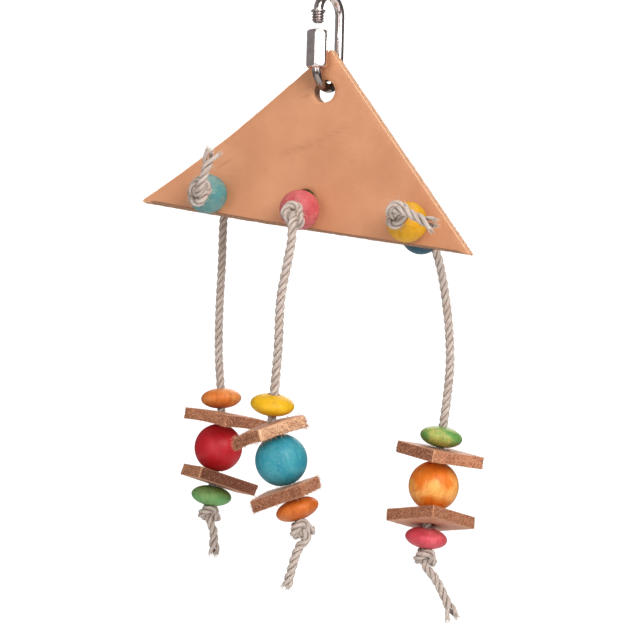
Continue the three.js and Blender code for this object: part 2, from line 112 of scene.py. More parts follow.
# Loose fibres at the cut end of each strand
FRAY_COUNT = 28
FRAY_LENGTH = 0.004
FRAY_SHORTEST = 0.35
FRAY_RADIUS = 0.00012
FRAY_ROOT = 0.9                     # reach of their feet, as a share of the strand's radius
FRAY_ROOTED = 0.3                   # share of their length inside the strand
FRAY_SPREAD = 0.5
FRAY_CURL = 0.6
FRAY_TAPER = 0.6
FRAY_STEPS = 5
END_POINTS = 5                      # points at a strand's end that say which way it goes on

# Leather
LEATHER_THICKNESS = 0.006
PLATE_LEG = 0.128
PLATE_TILT = math.radians(7.5)
APEX_ABOVE_HOLE = 0.0207
HOLE_DIAMETER = 0.012
CURL_START = 0.045
CURL_FORWARD = 0.009
CURL_LIFT = 0.002
SQUARE_BORE = 0.0072
EDGE_SETBACK = 0.0003               # room for the fuzz on a cut edge
APEX_HOLE_SHRUNK = 0.001            # how much the swollen hide closes the hole below the link
CORNER_LINE = 0.0009                # reach of the painted highlight line down a square's front corner
CORNER_PAINTED_HIGHLIGHT = 0.5
PLATE_APEX_OUT = 0.001              # how far corners are drawn out to make up for their worn rims
PLATE_LEFT_OUT = 0.0022
PLATE_CORNER = 0.0007
PLATE_BEVEL = 0.0006
PLATE_ROUGH = 0.00013
PLATE_SLANT = 0.0011                # how far the lower cut leans back
PLATE_SPACING = 0.0022
PLATE_SIDE = 0.002                  # how near the upper sides their painted highlight begins; elsewhere cut walls and rims take painted shade
# Painted shade on the cut walls and rims of the plate's lower side and its holes
LOWER_PAINTED_SHADE = -0.5
SQUARE_SPACING = 0.0013
SQUARE_CORNERS = ((-1, -1), (1, -1), (1, 1), (-1, 1))
DROOP_EASE = 1.5                    # power by which a drooping corner bends
OUTLINE_STEP = 0.0005
HOLE_STEP = 0.0004
HOLE_WEAR = 0.35                    # wear of a hole's rim, as a share of an outer rim's
WALL_LEVELS = 9
RIM_CURVE = ((1, 0), (0.45, 0.1), (0.1, 0.45))    # ways in and down a worn rim, as shares of its size
ROW_SHARE = 0.866                   # between rows of spots on a face, as a share of their spacing
CLEAR_SHARE = 0.7                   # between those spots and an outline
WELD = 1e-7
CUT_ROUGHNESS = ((0.22, 1.6), (1.7, 1.0), (4.1, 0.5))    # waves to a millimetre, and their shares
RIM_ROUGHNESS = 0.35                # roughness of a rim, as a share of the cut's
SLANT_EASE = 0.008                  # how far from a corner a slanting cut is at its full slant
SLANT_FADE = 8                      # power by which the slant fades as an outline turns up
SEED_SHIFT = (7.3, 3.1)

# Wood
BEAD_DIAMETER = 0.02
BEAD_BORE = 0.0052
STACK_BORE = 0.0058
BALL_DIAMETER = 0.0254
DISC_DIAMETER = 0.0214
DISC_THICKNESS = 0.0108
WOOD_FORMS = {
    "bead": (BEAD_DIAMETER, BEAD_DIAMETER, BEAD_BORE),
    "ball": (BALL_DIAMETER, BALL_DIAMETER, STACK_BORE),
    "disc": (DISC_DIAMETER, DISC_THICKNESS, STACK_BORE),
}
BROKEN_EDGE = 0.00045               # round a bore
MOUTH_CURVE = ((0.3, 0.25), (0, 1))    # ways out and down it, as shares of its size
TURNED_STEPS = 34
TURNED_SIDES = 64

# Quick link
ROD_DIAMETER = 0.0048
BOW_RADIUS = 0.0095
LINK_INNER_LENGTH = 0.0413
LINK_YAW = math.radians(-9)
THREAD_DIAMETER = 0.006
THREAD_PITCH = 0.00135
THREAD_RIDGES = 4
COLLAR_DIAMETER = 0.0072
COLLAR_LENGTH = 0.001
GATE_GAP = 0.0033
SLEEVE_LENGTH = 0.0192
SLEEVE_FLATS = 0.01
SLEEVE_TURN = math.radians(-6.5)
SLEEVE_BORE = 0.0066
SLEEVE_SOFT = 0.0006
SLEEVE_ROUND = ((0, 0.004), (0.0001, 0.0044), (0.0004, 0.0049), (0.0009, 0.0053), (0.0016, 0.0056))
SLEEVE_FULL = 0.0026                # from an end to where that rounding, by way in and radius, is over
SLEEVE_CORNER_WEAR = 0.00018
SLEEVE_BLEND = 0.0001               # how softly its flats run into the rounding
SLEEVE_SIDES = 180
ROD_SIDES = 32
BOW_STEPS = 48
BACK_STEPS = 40
ROD_IN_THREAD = 0.001               # how far the rod runs on inside its thread
RIDGE_LEVELS = 14                   # levels of the mesh in each turn of the thread
RIDGE_FLAT = 1.35                   # how much steeper a ridge is than one with a sharp crest
THREAD_LEAD_IN = 10                 # levels over which the thread begins
THREAD_TIP = 0.0003
THREAD_SIDES = 48
COLLAR_SOFT = 0.00025
COLLAR_FILLET = 0.0003
SHARP_ANGLE = math.radians(38)

# Floor and lights: a light's place, size and power
FLOOR_REACH = 1.15
FLOOR_HEIGHT = -0.62
LIGHT_TARGET = (0, 0, -0.16)
LIGHTS = {
    "key": ((0.95, -0.75, 0.45), (0.7, 0.9), 16),
    "fill": ((-0.05, -1.2, 0.05), (0.6, 0.9), 4.5),
    "top": ((0.1, 0.1, 0.9), (0.8, 0.8), 3),
    "back": ((-0.35, 1.1, 0.3), (0.8, 0.8), 7),
}

# Each strand: its hole (across from the middle of the plate's long edge, and up from that edge), which way
# and how far the hole is worn, its squares with their turns and how far they lie aside of their bores, and
# its rope. route: points from the swing point. tail and end: points from the knot before them. knot_aside:
# how far the last knot lies off the route's line. splits: how far the strands part at the tail and the end.
HALF_EDGE = PLATE_LEG * math.sqrt(0.5)
STRANDS = {
    "left": {
        "hole": (0.036 - HALF_EDGE, 0.0108),
        "worn": (0.0, 0.0),
        "hangs": "back",
        "square_side": 0.0332,
        "spins": (-17, -43),
        "asides": (0.0037, 0.003),
        "splits": (1.0, 0.5),
        "tail": [
            (0.0043, -0.008, 0.0035), (0.0063, -0.0085, 0.0085), (0.0076, -0.0075, 0.014),
            (0.0092, -0.006, 0.0192),
        ],
        "route": [
            (-0.0021, 0.0009, -0.0047), (-0.0038, 0.0017, -0.0126), (-0.005, 0.0033, -0.035),
            (-0.0059, 0.0035, -0.0612), (-0.005, 0.0027, -0.0852), (-0.0029, 0.0019, -0.1022),
            (-0.002, 0.0014, -0.1122), (-0.002, 0.0006, -0.1252), (-0.0031, -0.0006, -0.1422),
            (-0.0045, -0.0019, -0.1567), (-0.0051, -0.0025, -0.1632),
        ],
        "knot_aside": (0.0014, 0.0007, 0.0003),
        "end": [(0.0016, -0.0005, -0.0095), (0.0024, -0.001, -0.0205)],
    },
    "middle": {
        "hole": (-0.004, 0.013),
        "worn": (0.0012, 0.002),
        "hangs": "front",
        "square_side": 0.0286,
        "spins": (-31, 8),
        "asides": (-0.002, -0.0034),
        "splits": (0.4, 0.12),
        "tail": [(-0.0015, 0.0075, -0.002), (-0.002, 0.0085, -0.007), (-0.0015, 0.0075, -0.015)],
        "route": [
            (0.0006, -0.0016, -0.0042), (0.0012, -0.0029, -0.0104), (0.0001, -0.0038, -0.0192),
            (-0.0033, -0.0042, -0.0393), (-0.0043, -0.0034, -0.0613), (-0.0063, -0.0024, -0.083),
            (-0.0076, -0.0018, -0.0913), (-0.008, -0.0012, -0.0979), (-0.0072, -0.0007, -0.1034),
            (-0.0036, 0.0003, -0.1154), (0.0018, 0.0014, -0.1306), (0.0072, 0.0023, -0.1447),
        ],
        "knot_aside": (0, 0, 0),
        "end": [(-0.0022, 0, -0.0095), (-0.0082, 0, -0.0282)],
    },
    "right": {
        "hole": (HALF_EDGE - 0.033, 0.0092),
        "worn": (0.0, 0.0),
        "hangs": "back",
        "square_side": 0.0324,
        "spins": (-31.4, -20),
        "asides": (0.0008, 0.001),
        "splits": (0.8, 0.8),
        "tail": [
            (0.002, -0.0078, 0.002), (0.0065, -0.009, 0.0015), (0.013, -0.0085, -0.0015),
            (0.0205, -0.0075, -0.005),
        ],
        "route": [
            (0.0015, 0.001, -0.0035), (0.0039, 0.0026, -0.0125), (0.0059, 0.0035, -0.0235),
            (0.0084, 0.0044, -0.042), (0.0096, 0.0042, -0.06), (0.0087, 0.0032, -0.079),
            (0.0072, 0.0021, -0.094), (0.0063, 0.0014, -0.102), (0.0051, 0.0004, -0.114),
            (0.0032, -0.0009, -0.132), (0.0017, -0.0019, -0.1475), (0.0011, -0.0023, -0.1529),
        ],
        "knot_aside": (0.0021, 0.001, -0.0002),
        "end": [(0.0046, -0.0005, -0.0105), (0.0148, -0.0005, -0.0281)],
    },
}

# Leather squares: radii of the left, front, right and back corners, size of the worn rim, roughness of the
# cut, how many hairs stand on it and how long they are, its painted light and shade to the left and right,
# how far the whole square domes over its ball, and how far its left corner droops
SQUARES = {
    "left_upper_square": {
        "radii": (0.0011, 0.0011, 0.0011, 0.0011), "bevel": 0.0006, "rough": 0.0003,
        "fuzz": 1.7e6, "hair": 0.0012, "painted_shadings": (-0.2, -0.4), "dome": 0.0016, "droop": -0.001,
    },
    "left_lower_square": {
        "radii": (0.001, 0.001, 0.001, 0.001), "bevel": 0.0005, "rough": 0.00025,
        "fuzz": 1.0e6, "hair": 0.0009, "painted_shadings": (0.1, -0.7), "dome": 0.0, "droop": 0.0,
    },
    "middle_upper_square": {
        "radii": (0.003, 0.0016, 0.0036, 0.003), "bevel": 0.0012, "rough": 0.0005,
        "fuzz": 3.4e6, "hair": 0.002, "painted_shadings": (0.0, 0.85), "dome": 0.001, "droop": 0.003,
    },
    "middle_lower_square": {
        "radii": (0.002, 0.0016, 0.002, 0.002), "bevel": 0.0009, "rough": 0.0004,
        "fuzz": 2.8e6, "hair": 0.0016, "painted_shadings": (-0.46, 0.05), "dome": 0.0, "droop": 0.001,
    },
    "right_upper_square": {
        "radii": (0.0009, 0.0009, 0.0009, 0.0009), "bevel": 0.0005, "rough": 0.0002,
        "fuzz": 1.4e6, "hair": 0.0013, "painted_shadings": (-0.4, 0.1), "dome": 0.0, "droop": 0.0,
    },
    "right_lower_square": {
        "radii": (0.0009, 0.0009, 0.0009, 0.0009), "bevel": 0.0005, "rough": 0.0002,
        "fuzz": 1.3e6, "hair": 0.0012, "painted_shadings": (-0.4, -0.34), "dome": 0.0, "droop": 0.0,
    },
}


def srgb(red, green, blue):
    """A colour given as it looks on screen, 0 to 255, as a shader takes it."""
    shares = [value / 255 for value in (red, green, blue)]
    return tuple(s / 12.92 if s <= 0.04045 else ((s + 0.055) / 1.055) ** 2.4 for s in shares) + (1,)


# Dyes of the wooden pieces and of the worn patches on them, and how strongly their bands, lines, flecks and
# patches show. Flecks are dark, or pale below 0.
WOODS = {
    "left_front_bead": (srgb(84, 146, 146), srgb(132, 156, 148), 0.4, 0.7, 0.7, 0.7),
    "left_back_bead": (srgb(201, 162, 39), srgb(214, 178, 80), 0.4, 0.5, 0.4, 0.6),
    "middle_front_bead": (srgb(200, 84, 88), srgb(212, 112, 112), 0.4, 0.5, 0.4, 0.7),
    "middle_back_bead": (srgb(116, 158, 86), srgb(150, 170, 100), 0.4, 0.5, 0.4, 0.6),
    "right_front_bead": (srgb(224, 160, 0), srgb(232, 180, 28), 0.5, 0.6, 0.6, 0.4),
    "right_back_bead": (srgb(18, 76, 98), srgb(46, 98, 112), 0.4, 0.4, 0.4, 0.4),
    "left_top_disc": (srgb(228, 128, 52), srgb(238, 160, 88), 0.6, 0.9, 0.7, 0.8),
    "left_ball": (srgb(190, 16, 32), srgb(200, 44, 54), 0.3, 0.15, 0.1, 0.5),
    "left_bottom_disc": (srgb(106, 162, 92), srgb(140, 176, 108), 0.5, 0.8, 0.6, 0.7),
    "middle_top_disc": (srgb(230, 174, 0), srgb(234, 186, 30), 0.4, 0.6, 0.9, 0.4),
    "middle_ball": (srgb(34, 140, 160), srgb(68, 156, 166), 0.4, 0.5, -0.8, 0.7),
    "middle_bottom_disc": (srgb(204, 100, 24), srgb(222, 130, 54), 0.5, 0.9, 0.7, 0.5),
    "right_top_disc": (srgb(106, 158, 80), srgb(186, 184, 96), 0.5, 0.6, 0.5, 1.0),
    "right_ball": (srgb(234, 122, 28), srgb(248, 176, 88), 0.5, 0.6, 0.7, 1.0),
    "right_bottom_disc": (srgb(212, 74, 88), srgb(230, 112, 116), 0.5, 0.6, 0.4, 0.7),
}


def add_object(name, data):
    thing = bpy.data.objects.new(name, data)
    bpy.context.scene.collection.objects.link(thing)
    return thing


# Camera
def aim_camera():
    turn = Matrix.Rotation(VIEW_AZIMUTH, 4, "Z")
    place = turn @ Matrix.Translation((VIEW_ASIDE, -VIEW_DISTANCE, VIEW_HEIGHT))
    data = bpy.data.cameras.new("camera")
    data.lens = LENS
    data.clip_start = 0.01
    camera = add_object("camera", data)
    camera.matrix_world = place @ Matrix.Rotation(math.pi / 2, 4, "X") @ Matrix.Rotation(VIEW_ROLL, 4, "Z")
    bpy.context.scene.camera = camera


aim_camera()
bpy.context.scene.view_settings.view_transform = "Standard"


# Node trees
class Value:
    """One output of a node, which takes part in arithmetic."""

    def __init__(self, tree, socket):
        self.tree = tree
        self.socket = socket

    def of(self, name):
        return Value(self.tree, self.socket.node.outputs[name])

    def maths(self, operation, first, second=0.0):
        return self.tree.add("ShaderNodeMath", {"operation": operation}, {0: first, 1: second})

    def __add__(self, other):
        return self.maths("ADD", self, other)

    def __radd__(self, other):
        return self.maths("ADD", other, self)

    def __sub__(self, other):
        return self.maths("SUBTRACT", self, other)

    def __rsub__(self, other):
        return self.maths("SUBTRACT", other, self)

    def __mul__(self, other):
        return self.maths("MULTIPLY", self, other)

    def __truediv__(self, other):
        return self.maths("DIVIDE", self, other)

    def __abs__(self):
        return self.maths("ABSOLUTE", self)

    def sine(self):
        return self.maths("SINE", self)

    def cosine(self):
        return self.maths("COSINE", self)

    def step(self, low, high):
        """0 at low and 1 at high, or the other way about where low is the greater."""
        return self.tree.add("ShaderNodeMapRange", {"interpolation_type": "SMOOTHSTEP"}, {
            0: self, 1: low, 2: high, 3: 0.0, 4: 1.0,
        })


class Tree:
    """A node tree, built by calls."""

    def __init__(self, tree):
        self.tree = tree

    def add(self, kind, settings=None, inputs=None):
        node = self.tree.nodes.new(kind)
        for key, value in (settings or {}).items():
            setattr(node, key, value)
        for key, value in (inputs or {}).items():
            self.feed(node.inputs[key], value)
        return Value(self, node.outputs[0]) if node.outputs else None

    def feed(self, socket, value):
        if isinstance(value, list):
            for each in value:
                self.feed(socket, each)
        elif isinstance(value, Value):
            self.tree.links.new(value.socket, socket)
        else:
            socket.default_value = value

    def vector(self, operation, first, second=(0, 0, 0)):
        return self.add("ShaderNodeVectorMath", {"operation": operation}, {0: first, 1: second})

    def scaled(self, vector, scale):
        return self.add("ShaderNodeVectorMath", {"operation": "SCALE"}, {0: vector, "Scale": scale})

    def joined(self, x, y, z):
        return self.add("ShaderNodeCombineXYZ", None, {0: x, 1: y, 2: z})


class Finish(Tree):
    """A material on one principled shader."""

    def __init__(self, name, **constants):
        self.material = bpy.data.materials.new(name)
        self.material.use_nodes = True
        super().__init__(self.material.node_tree)
        self.shader = self.tree.nodes["Principled BSDF"]
        self.surface(constants)

    def surface(self, sockets):
        for name, value in sockets.items():
            self.feed(self.shader.inputs[name], value)

    def attribute(self, name, output="Vector"):
        return self.add("ShaderNodeAttribute", {"attribute_name": name}).of(output)

    def noise(self, place, scale, detail=2.0, roughness=0.5, distortion=0.0):
        return self.add("ShaderNodeTexNoise", None, {
            "Vector": place, "Scale": scale, "Detail": detail,
            "Roughness": roughness, "Distortion": distortion,
        })

    def cells(self, place, scale):
        return self.add("ShaderNodeTexVoronoi", None, {"Vector": place, "Scale": scale})

    def mix(self, share, first, second):
        node = self.add("ShaderNodeMix", {"data_type": "RGBA"}, {0: share, 6: first, 7: second})
        return Value(self, node.socket.node.outputs[2])

    def stroke(self, place, middle, way, length, width):
        """1 along a short straight mark, fading to 0 beside it and past its ends."""
        way = Vector(way).normalized()
        aside = way.cross((0, 1, 0))
        offset = self.vector("SUBTRACT", place, middle)
        along = self.vector("DOT_PRODUCT", offset, way).of("Value")
        across = self.vector("DOT_PRODUCT", offset, aside).of("Value")
        return abs(along).step(length / 2, 0.0) * abs(across).step(width / 2, 0.0)

    def bump(self, height, distance):
        return self.add("ShaderNodeBump", None, {"Height": height, "Distance": distance, "Strength": 1.0})


def geometry_tree(name, inputs):
    """A new Geometry Nodes tree, its group input, and the identifier of each of its named inputs."""
    group = bpy.data.node_groups.new(name, "GeometryNodeTree")
    sockets = {}
    group.interface.new_socket("Geometry", in_out="OUTPUT", socket_type="NodeSocketGeometry")
    group.interface.new_socket("Geometry", in_out="INPUT", socket_type="NodeSocketGeometry")
    for key, kind in inputs.items():
        socket = group.interface.new_socket(key, in_out="INPUT", socket_type="NodeSocket" + kind)
        sockets[key] = socket.identifier
    tree = Tree(group)
    return tree, tree.add("NodeGroupInput"), sockets


# Rope: three strands laid round a centreline, squeezed, turned and parted as its points' attributes say
def rope_tree():
    tree, given, sockets = geometry_tree("laid_rope", {
        "Strand Radius": "Float", "Lay Radius": "Float", "Spread": "Float", "Material": "Material",
    })
    turn, squeeze, split = (
        tree.add("GeometryNodeInputNamedAttribute", {"data_type": "FLOAT"}, {"Name": name})
        for name in ("turn", "squeeze", "split")
    )
    line = tree.add("GeometryNodeMeshToCurve", None, {"Mesh": given})
    line = tree.add("GeometryNodeSetCurveRadius", None, {"Curve": line, "Radius": squeeze})
    normal = tree.add("GeometryNodeInputNormal")
    tangent = tree.add("GeometryNodeInputTangent")
    aside = tree.vector("CROSS_PRODUCT", tangent, normal)
    around = tree.add("GeometryNodeSplineParameter").of("Factor") * (2 * math.pi)
    section = tree.add("GeometryNodeCurvePrimitiveCircle", None, {
        "Resolution": STRAND_SIDES, "Radius": given.of("Strand Radius"),
    })
    section = tree.add("GeometryNodeStoreNamedAttribute", {"data_type": "FLOAT", "domain": "POINT"}, {
        "Geometry": section, "Name": "around", "Value": around,
    })
    strands = []
    for index, parting in enumerate(STRAND_PARTING):
        angle = (turn + index / len(STRAND_PARTING)) * (2 * math.pi)
        reach = given.of("Lay Radius") * (squeeze + split * given.of("Spread") * parting)
        first = tree.scaled(normal, angle.cosine() * reach)
        second = tree.scaled(aside, angle.sine() * reach)
        moved = tree.add("GeometryNodeSetPosition", None, {
            "Geometry": line, "Offset": tree.vector("ADD", first, second),
        })
        strands.append(tree.add("GeometryNodeCurveToMesh", None, {
            "Curve": moved, "Profile Curve": section, "Fill Caps": True,
        }))
    whole = tree.add("GeometryNodeJoinGeometry", None, {"Geometry": strands})
    whole = tree.add("GeometryNodeRealizeInstances", None, {"Geometry": whole})
    whole = tree.add("GeometryNodeSetMaterial", None, {"Geometry": whole, "Material": given.of("Material")})
    tree.add("NodeGroupOutput", None, {"Geometry": whole})
    return tree.tree, sockets


# Fibres: bent hairs that stand on a mesh, where its fuzz attribute says
def fibre_tree():
    tree, given, sockets = geometry_tree("fibres", {
        "Density": "Float", "Length": "Float", "Radius": "Float", "Lean": "Float", "Seed": "Int",
        "Material": "Material",
    })
    seed = given.of("Seed")
    fuzz = tree.add("GeometryNodeInputNamedAttribute", {"data_type": "FLOAT"}, {"Name": "fuzz"})
    spots = tree.add("GeometryNodeDistributePointsOnFaces", None, {
        "Mesh": given, "Density": fuzz * given.of("Density"), "Seed": seed,
    })
    astray = tree.add("FunctionNodeRandomValue", {"data_type": "FLOAT_VECTOR"}, {
        0: (-1, -1, -1), 1: (1, 1, 1), "Seed": seed,
    })
    astray = tree.scaled(astray, given.of("Lean"))
    pointing = tree.add("FunctionNodeAlignRotationToVector", {"axis": "Z"}, {
        "Vector": tree.vector("ADD", spots.of("Normal"), astray),
    })
    size = tree.add("FunctionNodeRandomValue", {"data_type": "FLOAT"}, {
        2: HAIR_SHORTEST, 3: 1.0, "Seed": seed,
    })
    size = Value(tree, size.socket.node.outputs[1]) * given.of("Length")
    hair = tree.add("GeometryNodeCurveQuadraticBezier", None, {
        "Resolution": 4, "Start": HAIR_FOOT, "Middle": HAIR_BEND, "End": HAIR_TIP,
    })
    taper = 1.0 - tree.add("GeometryNodeSplineParameter").of("Factor") * HAIR_TAPER
    hair = tree.add("GeometryNodeSetCurveRadius", None, {"Curve": hair, "Radius": taper})
    section = tree.add("GeometryNodeCurvePrimitiveCircle", None, {
        "Resolution": 3, "Radius": given.of("Radius") / given.of("Length"),
    })
    hair = tree.add("GeometryNodeCurveToMesh", None, {"Curve": hair, "Profile Curve": section})
    hairs = tree.add("GeometryNodeInstanceOnPoints", None, {
        "Points": spots, "Instance": hair, "Rotation": pointing, "Scale": size,
    })
    hairs = tree.add("GeometryNodeRealizeInstances", None, {"Geometry": hairs})
    hairs = tree.add("GeometryNodeSetMaterial", None, {"Geometry": hairs, "Material": given.of("Material")})
    tree.add("NodeGroupOutput", None, {"Geometry": hairs})
    return tree.tree, sockets


def made_by(name, source, tree, values):
    """A plain mesh piece, made from a source object by a node tree with the given inputs."""
    group, sockets = tree
    modifier = source.modifiers.new("maker", "NODES")
    modifier.node_group = group
    for key, value in values.items():
        modifier[sockets[key]] = value
    bpy.context.view_layer.update()
    depsgraph = bpy.context.evaluated_depsgraph_get()
    mesh = bpy.data.meshes.new_from_object(source.evaluated_get(depsgraph), depsgraph=depsgraph)
    source.modifiers.remove(modifier)
    mesh.name = name
    return add_object(name, mesh)


def shade_smooth(mesh):
    mesh.polygons.foreach_set("use_smooth", np.ones(len(mesh.polygons), bool))


def add_values(mesh, name, values):
    values = np.asarray(values, np.float32)
    mesh.attributes.new(name, "FLOAT", "POINT").data.foreach_set("value", values.ravel())


def plain_piece(name, positions, faces, finish, attributes):
    """A mesh piece with its vertices in place, and named values at each vertex."""
    mesh = bpy.data.meshes.new(name)
    mesh.from_pydata([tuple(p) for p in positions], [], faces)
    sided = bmesh.new()
    sided.from_mesh(mesh)
    bmesh.ops.recalc_face_normals(sided, faces=sided.faces)
    sided.to_mesh(mesh)
    sided.free()
    for key, values in attributes.items():
        values = np.asarray(values, np.float32)
        if values.ndim == 2:
            mesh.attributes.new(key, "FLOAT_VECTOR", "POINT").data.foreach_set("vector", values.ravel())
        else:
            add_values(mesh, key, values)
    shade_smooth(mesh)
    mesh.materials.append(finish.material)
    return add_object(name, mesh)


# Rope centrelines
def smooth(points, step):
    """Points at even steps along a smooth curve through the given ones."""
    p = np.array(points, float)
    p = np.vstack([2 * p[0] - p[1], p, 2 * p[-1] - p[-2]])
    runs = []
    for a, b, c, d in zip(p, p[1:], p[2:], p[3:]):
        k = np.cumsum([0.0] + [math.sqrt(np.linalg.norm(y - x)) for x, y in ((a, b), (b, c), (c, d))])
        t = np.linspace(k[1], k[2], SPAN_STEPS, endpoint=False)[:, None]
        ab = a + (b - a) * (t - k[0]) / (k[1] - k[0])
        bc = b + (c - b) * (t - k[1]) / (k[2] - k[1])
        cd = c + (d - c) * (t - k[2]) / (k[3] - k[2])
        abc = ab + (bc - ab) * (t - k[0]) / (k[2] - k[0])
        bcd = bc + (cd - bc) * (t - k[1]) / (k[3] - k[1])
        runs.append(abc + (bcd - abc) * (t - k[1]) / (k[2] - k[1]))
    line = np.vstack(runs + [p[-2:-1]])
    run = np.concatenate([[0], np.cumsum(np.linalg.norm(np.diff(line, axis=0), axis=1))])
    marks = np.linspace(0, run[-1], round(run[-1] / step) + 1)
    return np.column_stack([np.interp(marks, run, line[:, i]) for i in range(3)])


def knot(middle, forward):
    """Control points of an overhand knot, from its near side to its far side."""
    points = [Vector((0, 0, KNOT_LEAD))]
    for i in range(KNOT_TRIM, KNOT_STEPS + 1 - KNOT_TRIM):
        t = math.pi / 3 + (4 * math.pi / 3) * i / KNOT_STEPS
        radius = KNOT_RADIUS + KNOT_SWELL * math.cos(3 * t)
        x, y = radius * math.cos(2 * t), radius * math.sin(2 * t)
        points.append(Vector((x, y, KNOT_RISE * math.sin(3 * t))))
    points.append(Vector((0, 0, -KNOT_LEAD)))
    turn = UP.rotation_difference(-forward)
    return [turn @ point + middle for point in points]


def rope_line(name):
    """A strand's whole rope from tail to end, the knots on it, and where it leaves its last knot."""
    strand = STRANDS[name]
    front = Vector(joints[f"{name}_front_bead_spin"]["pos_m"])
    back = Vector(joints[f"{name}_back_bead_spin"]["pos_m"])
    swing = Vector(joints[f"{name}_strand_swing"]["pos_m"])
    near, far = (back, front) if strand["hangs"] == "front" else (front, back)
    out = (far - near).normalized()
    tail_knot = near - out * KNOT_SEAT
    last_knot = far + out * KNOT_SEAT
    route = [swing + Vector(p) for p in strand["route"]]
    down = (route[-1] - route[-2]).normalized()
    stopper = route[-1] + down * KNOT_LEAD + Vector(strand["knot_aside"])
    tail = [tail_knot + Vector(p) for p in reversed(strand["tail"])]
    bend = last_knot + out * (KNOT_LEAD + BEND_OUT) - UP * BEND_DROP
    upper = [last_knot + out * KNOT_LEAD, bend] + route[:-1]
    lower = [stopper + Vector(p) for p in strand["end"]]
    return {
        "tied": smooth(tail + knot(tail_knot, out) + knot(last_knot, out), ROPE_STEP),
        "hanging": smooth(upper + knot(stopper, down) + lower, ROPE_STEP),
        "knots": [tail_knot, last_knot, stopper],
        "swing": swing,
        "last_knot": last_knot,
    }


def rope_piece(name, line, knots, start, splits, finish, tree):
    """A laid rope along a centreline, and its strands' middles, which part at its cut ends."""
    run = ROPE_STEP * np.arange(len(line))
    reach = np.min([np.linalg.norm(line - np.array(middle), axis=1) for middle in knots], axis=0)
    squeeze = KNOT_SQUEEZE + (1 - KNOT_SQUEEZE) * np.clip((reach - KNOT_REACH) / KNOT_FADE, 0, 1)
    parting = [np.clip(1 - way / SPLIT_LENGTH, 0, 1) ** SPLIT_EASE for way in (run, run[-1] - run)]
    split = parting[0] * splits[0] + parting[1] * splits[1]
    turn = start / LAY_PITCH + np.cumsum(ROPE_STEP / LAY_PITCH * (1 - SPLIT_SLACK * np.minimum(split, 1)))
    mesh = bpy.data.meshes.new(name + "_line")
    mesh.from_pydata([tuple(p) for p in line], [(i, i + 1) for i in range(len(line) - 1)], [])
    add_values(mesh, "along", (start + run) / MM)
    add_values(mesh, "turn", turn)
    add_values(mesh, "squeeze", squeeze)
    add_values(mesh, "split", split)
    source = add_object(name + "_line", mesh)
    piece = made_by(name, source, tree, {
        "Strand Radius": STRAND_RADIUS, "Lay Radius": LAY_RADIUS, "Spread": SPLIT_SPREAD,
        "Material": finish.material,
    })
    bpy.data.objects.remove(source)
    shade_smooth(piece.data)
    places = np.empty(len(piece.data.vertices) * 3, np.float32)
    piece.data.vertices.foreach_get("co", places)
    rings = places.reshape(len(STRAND_PARTING), len(line), STRAND_SIDES, 3)
    # How far each strand vertex lies from the rope's centreline, as a share of its radius; the finish
    # paints shade into the grooves by it
    depth = np.linalg.norm(rings - line[None, :, None, :], axis=3) / (ROPE_DIAMETER / 2)
    add_values(piece.data, "depth", depth)
    add_values(piece.data, "fuzz", np.ones(depth.size))
    return piece, rings.mean(axis=2)


def rope_finish():
    finish = Finish("sisal_rope", Roughness=0.9, **{"Specular IOR Level": 0.2})
    along = finish.attribute("along", "Fac")
    around = finish.attribute("around", "Fac")
    depth = finish.attribute("depth", "Fac")
    twist = around - along * 0.35
    place = finish.joined(twist.cosine(), twist.sine(), along * 0.05)
    yarn = finish.noise(place, 5.0, 4.0, 0.6)
    fine = finish.noise(place, 16.0, 2.0, 0.6)
    patch = finish.noise(finish.joined(around * 0.1, 0.0, along * 0.12), 1.0, 2.0)
    speck = finish.noise(finish.joined(around, 0.0, along * 1.4), 1.3, 3.0, 0.7)
    colour = finish.mix(yarn.step(0.3, 0.7), srgb(186, 164, 152), srgb(234, 221, 210))
    colour = finish.mix(patch.step(0.45, 0.75) * 0.5, colour, srgb(196, 170, 154))
    colour = finish.mix(fine.step(0.6, 0.78) * 0.7, colour, srgb(250, 242, 234))
    colour = finish.mix(speck.step(0.54, 0.7) * 0.6, colour, srgb(146, 116, 104))
    # Painted shade in the grooves between the strands, darker nearer the centreline
    colour = finish.mix(depth.step(0.92, 0.5) * 0.85, colour, srgb(120, 94, 82))
    finish.surface({"Base Color": colour, "Normal": finish.bump(yarn + fine * 0.5 - speck * 0.6, 0.0004)})
    return finish


def hair_finish(name, dark, light):
    finish = Finish(name, Roughness=0.8)
    place = finish.add("ShaderNodeTexCoord").of("Object")
    finish.surface({"Base Color": finish.mix(finish.noise(place, 900.0, 1.0).step(0.3, 0.7), dark, light)})
    return finish


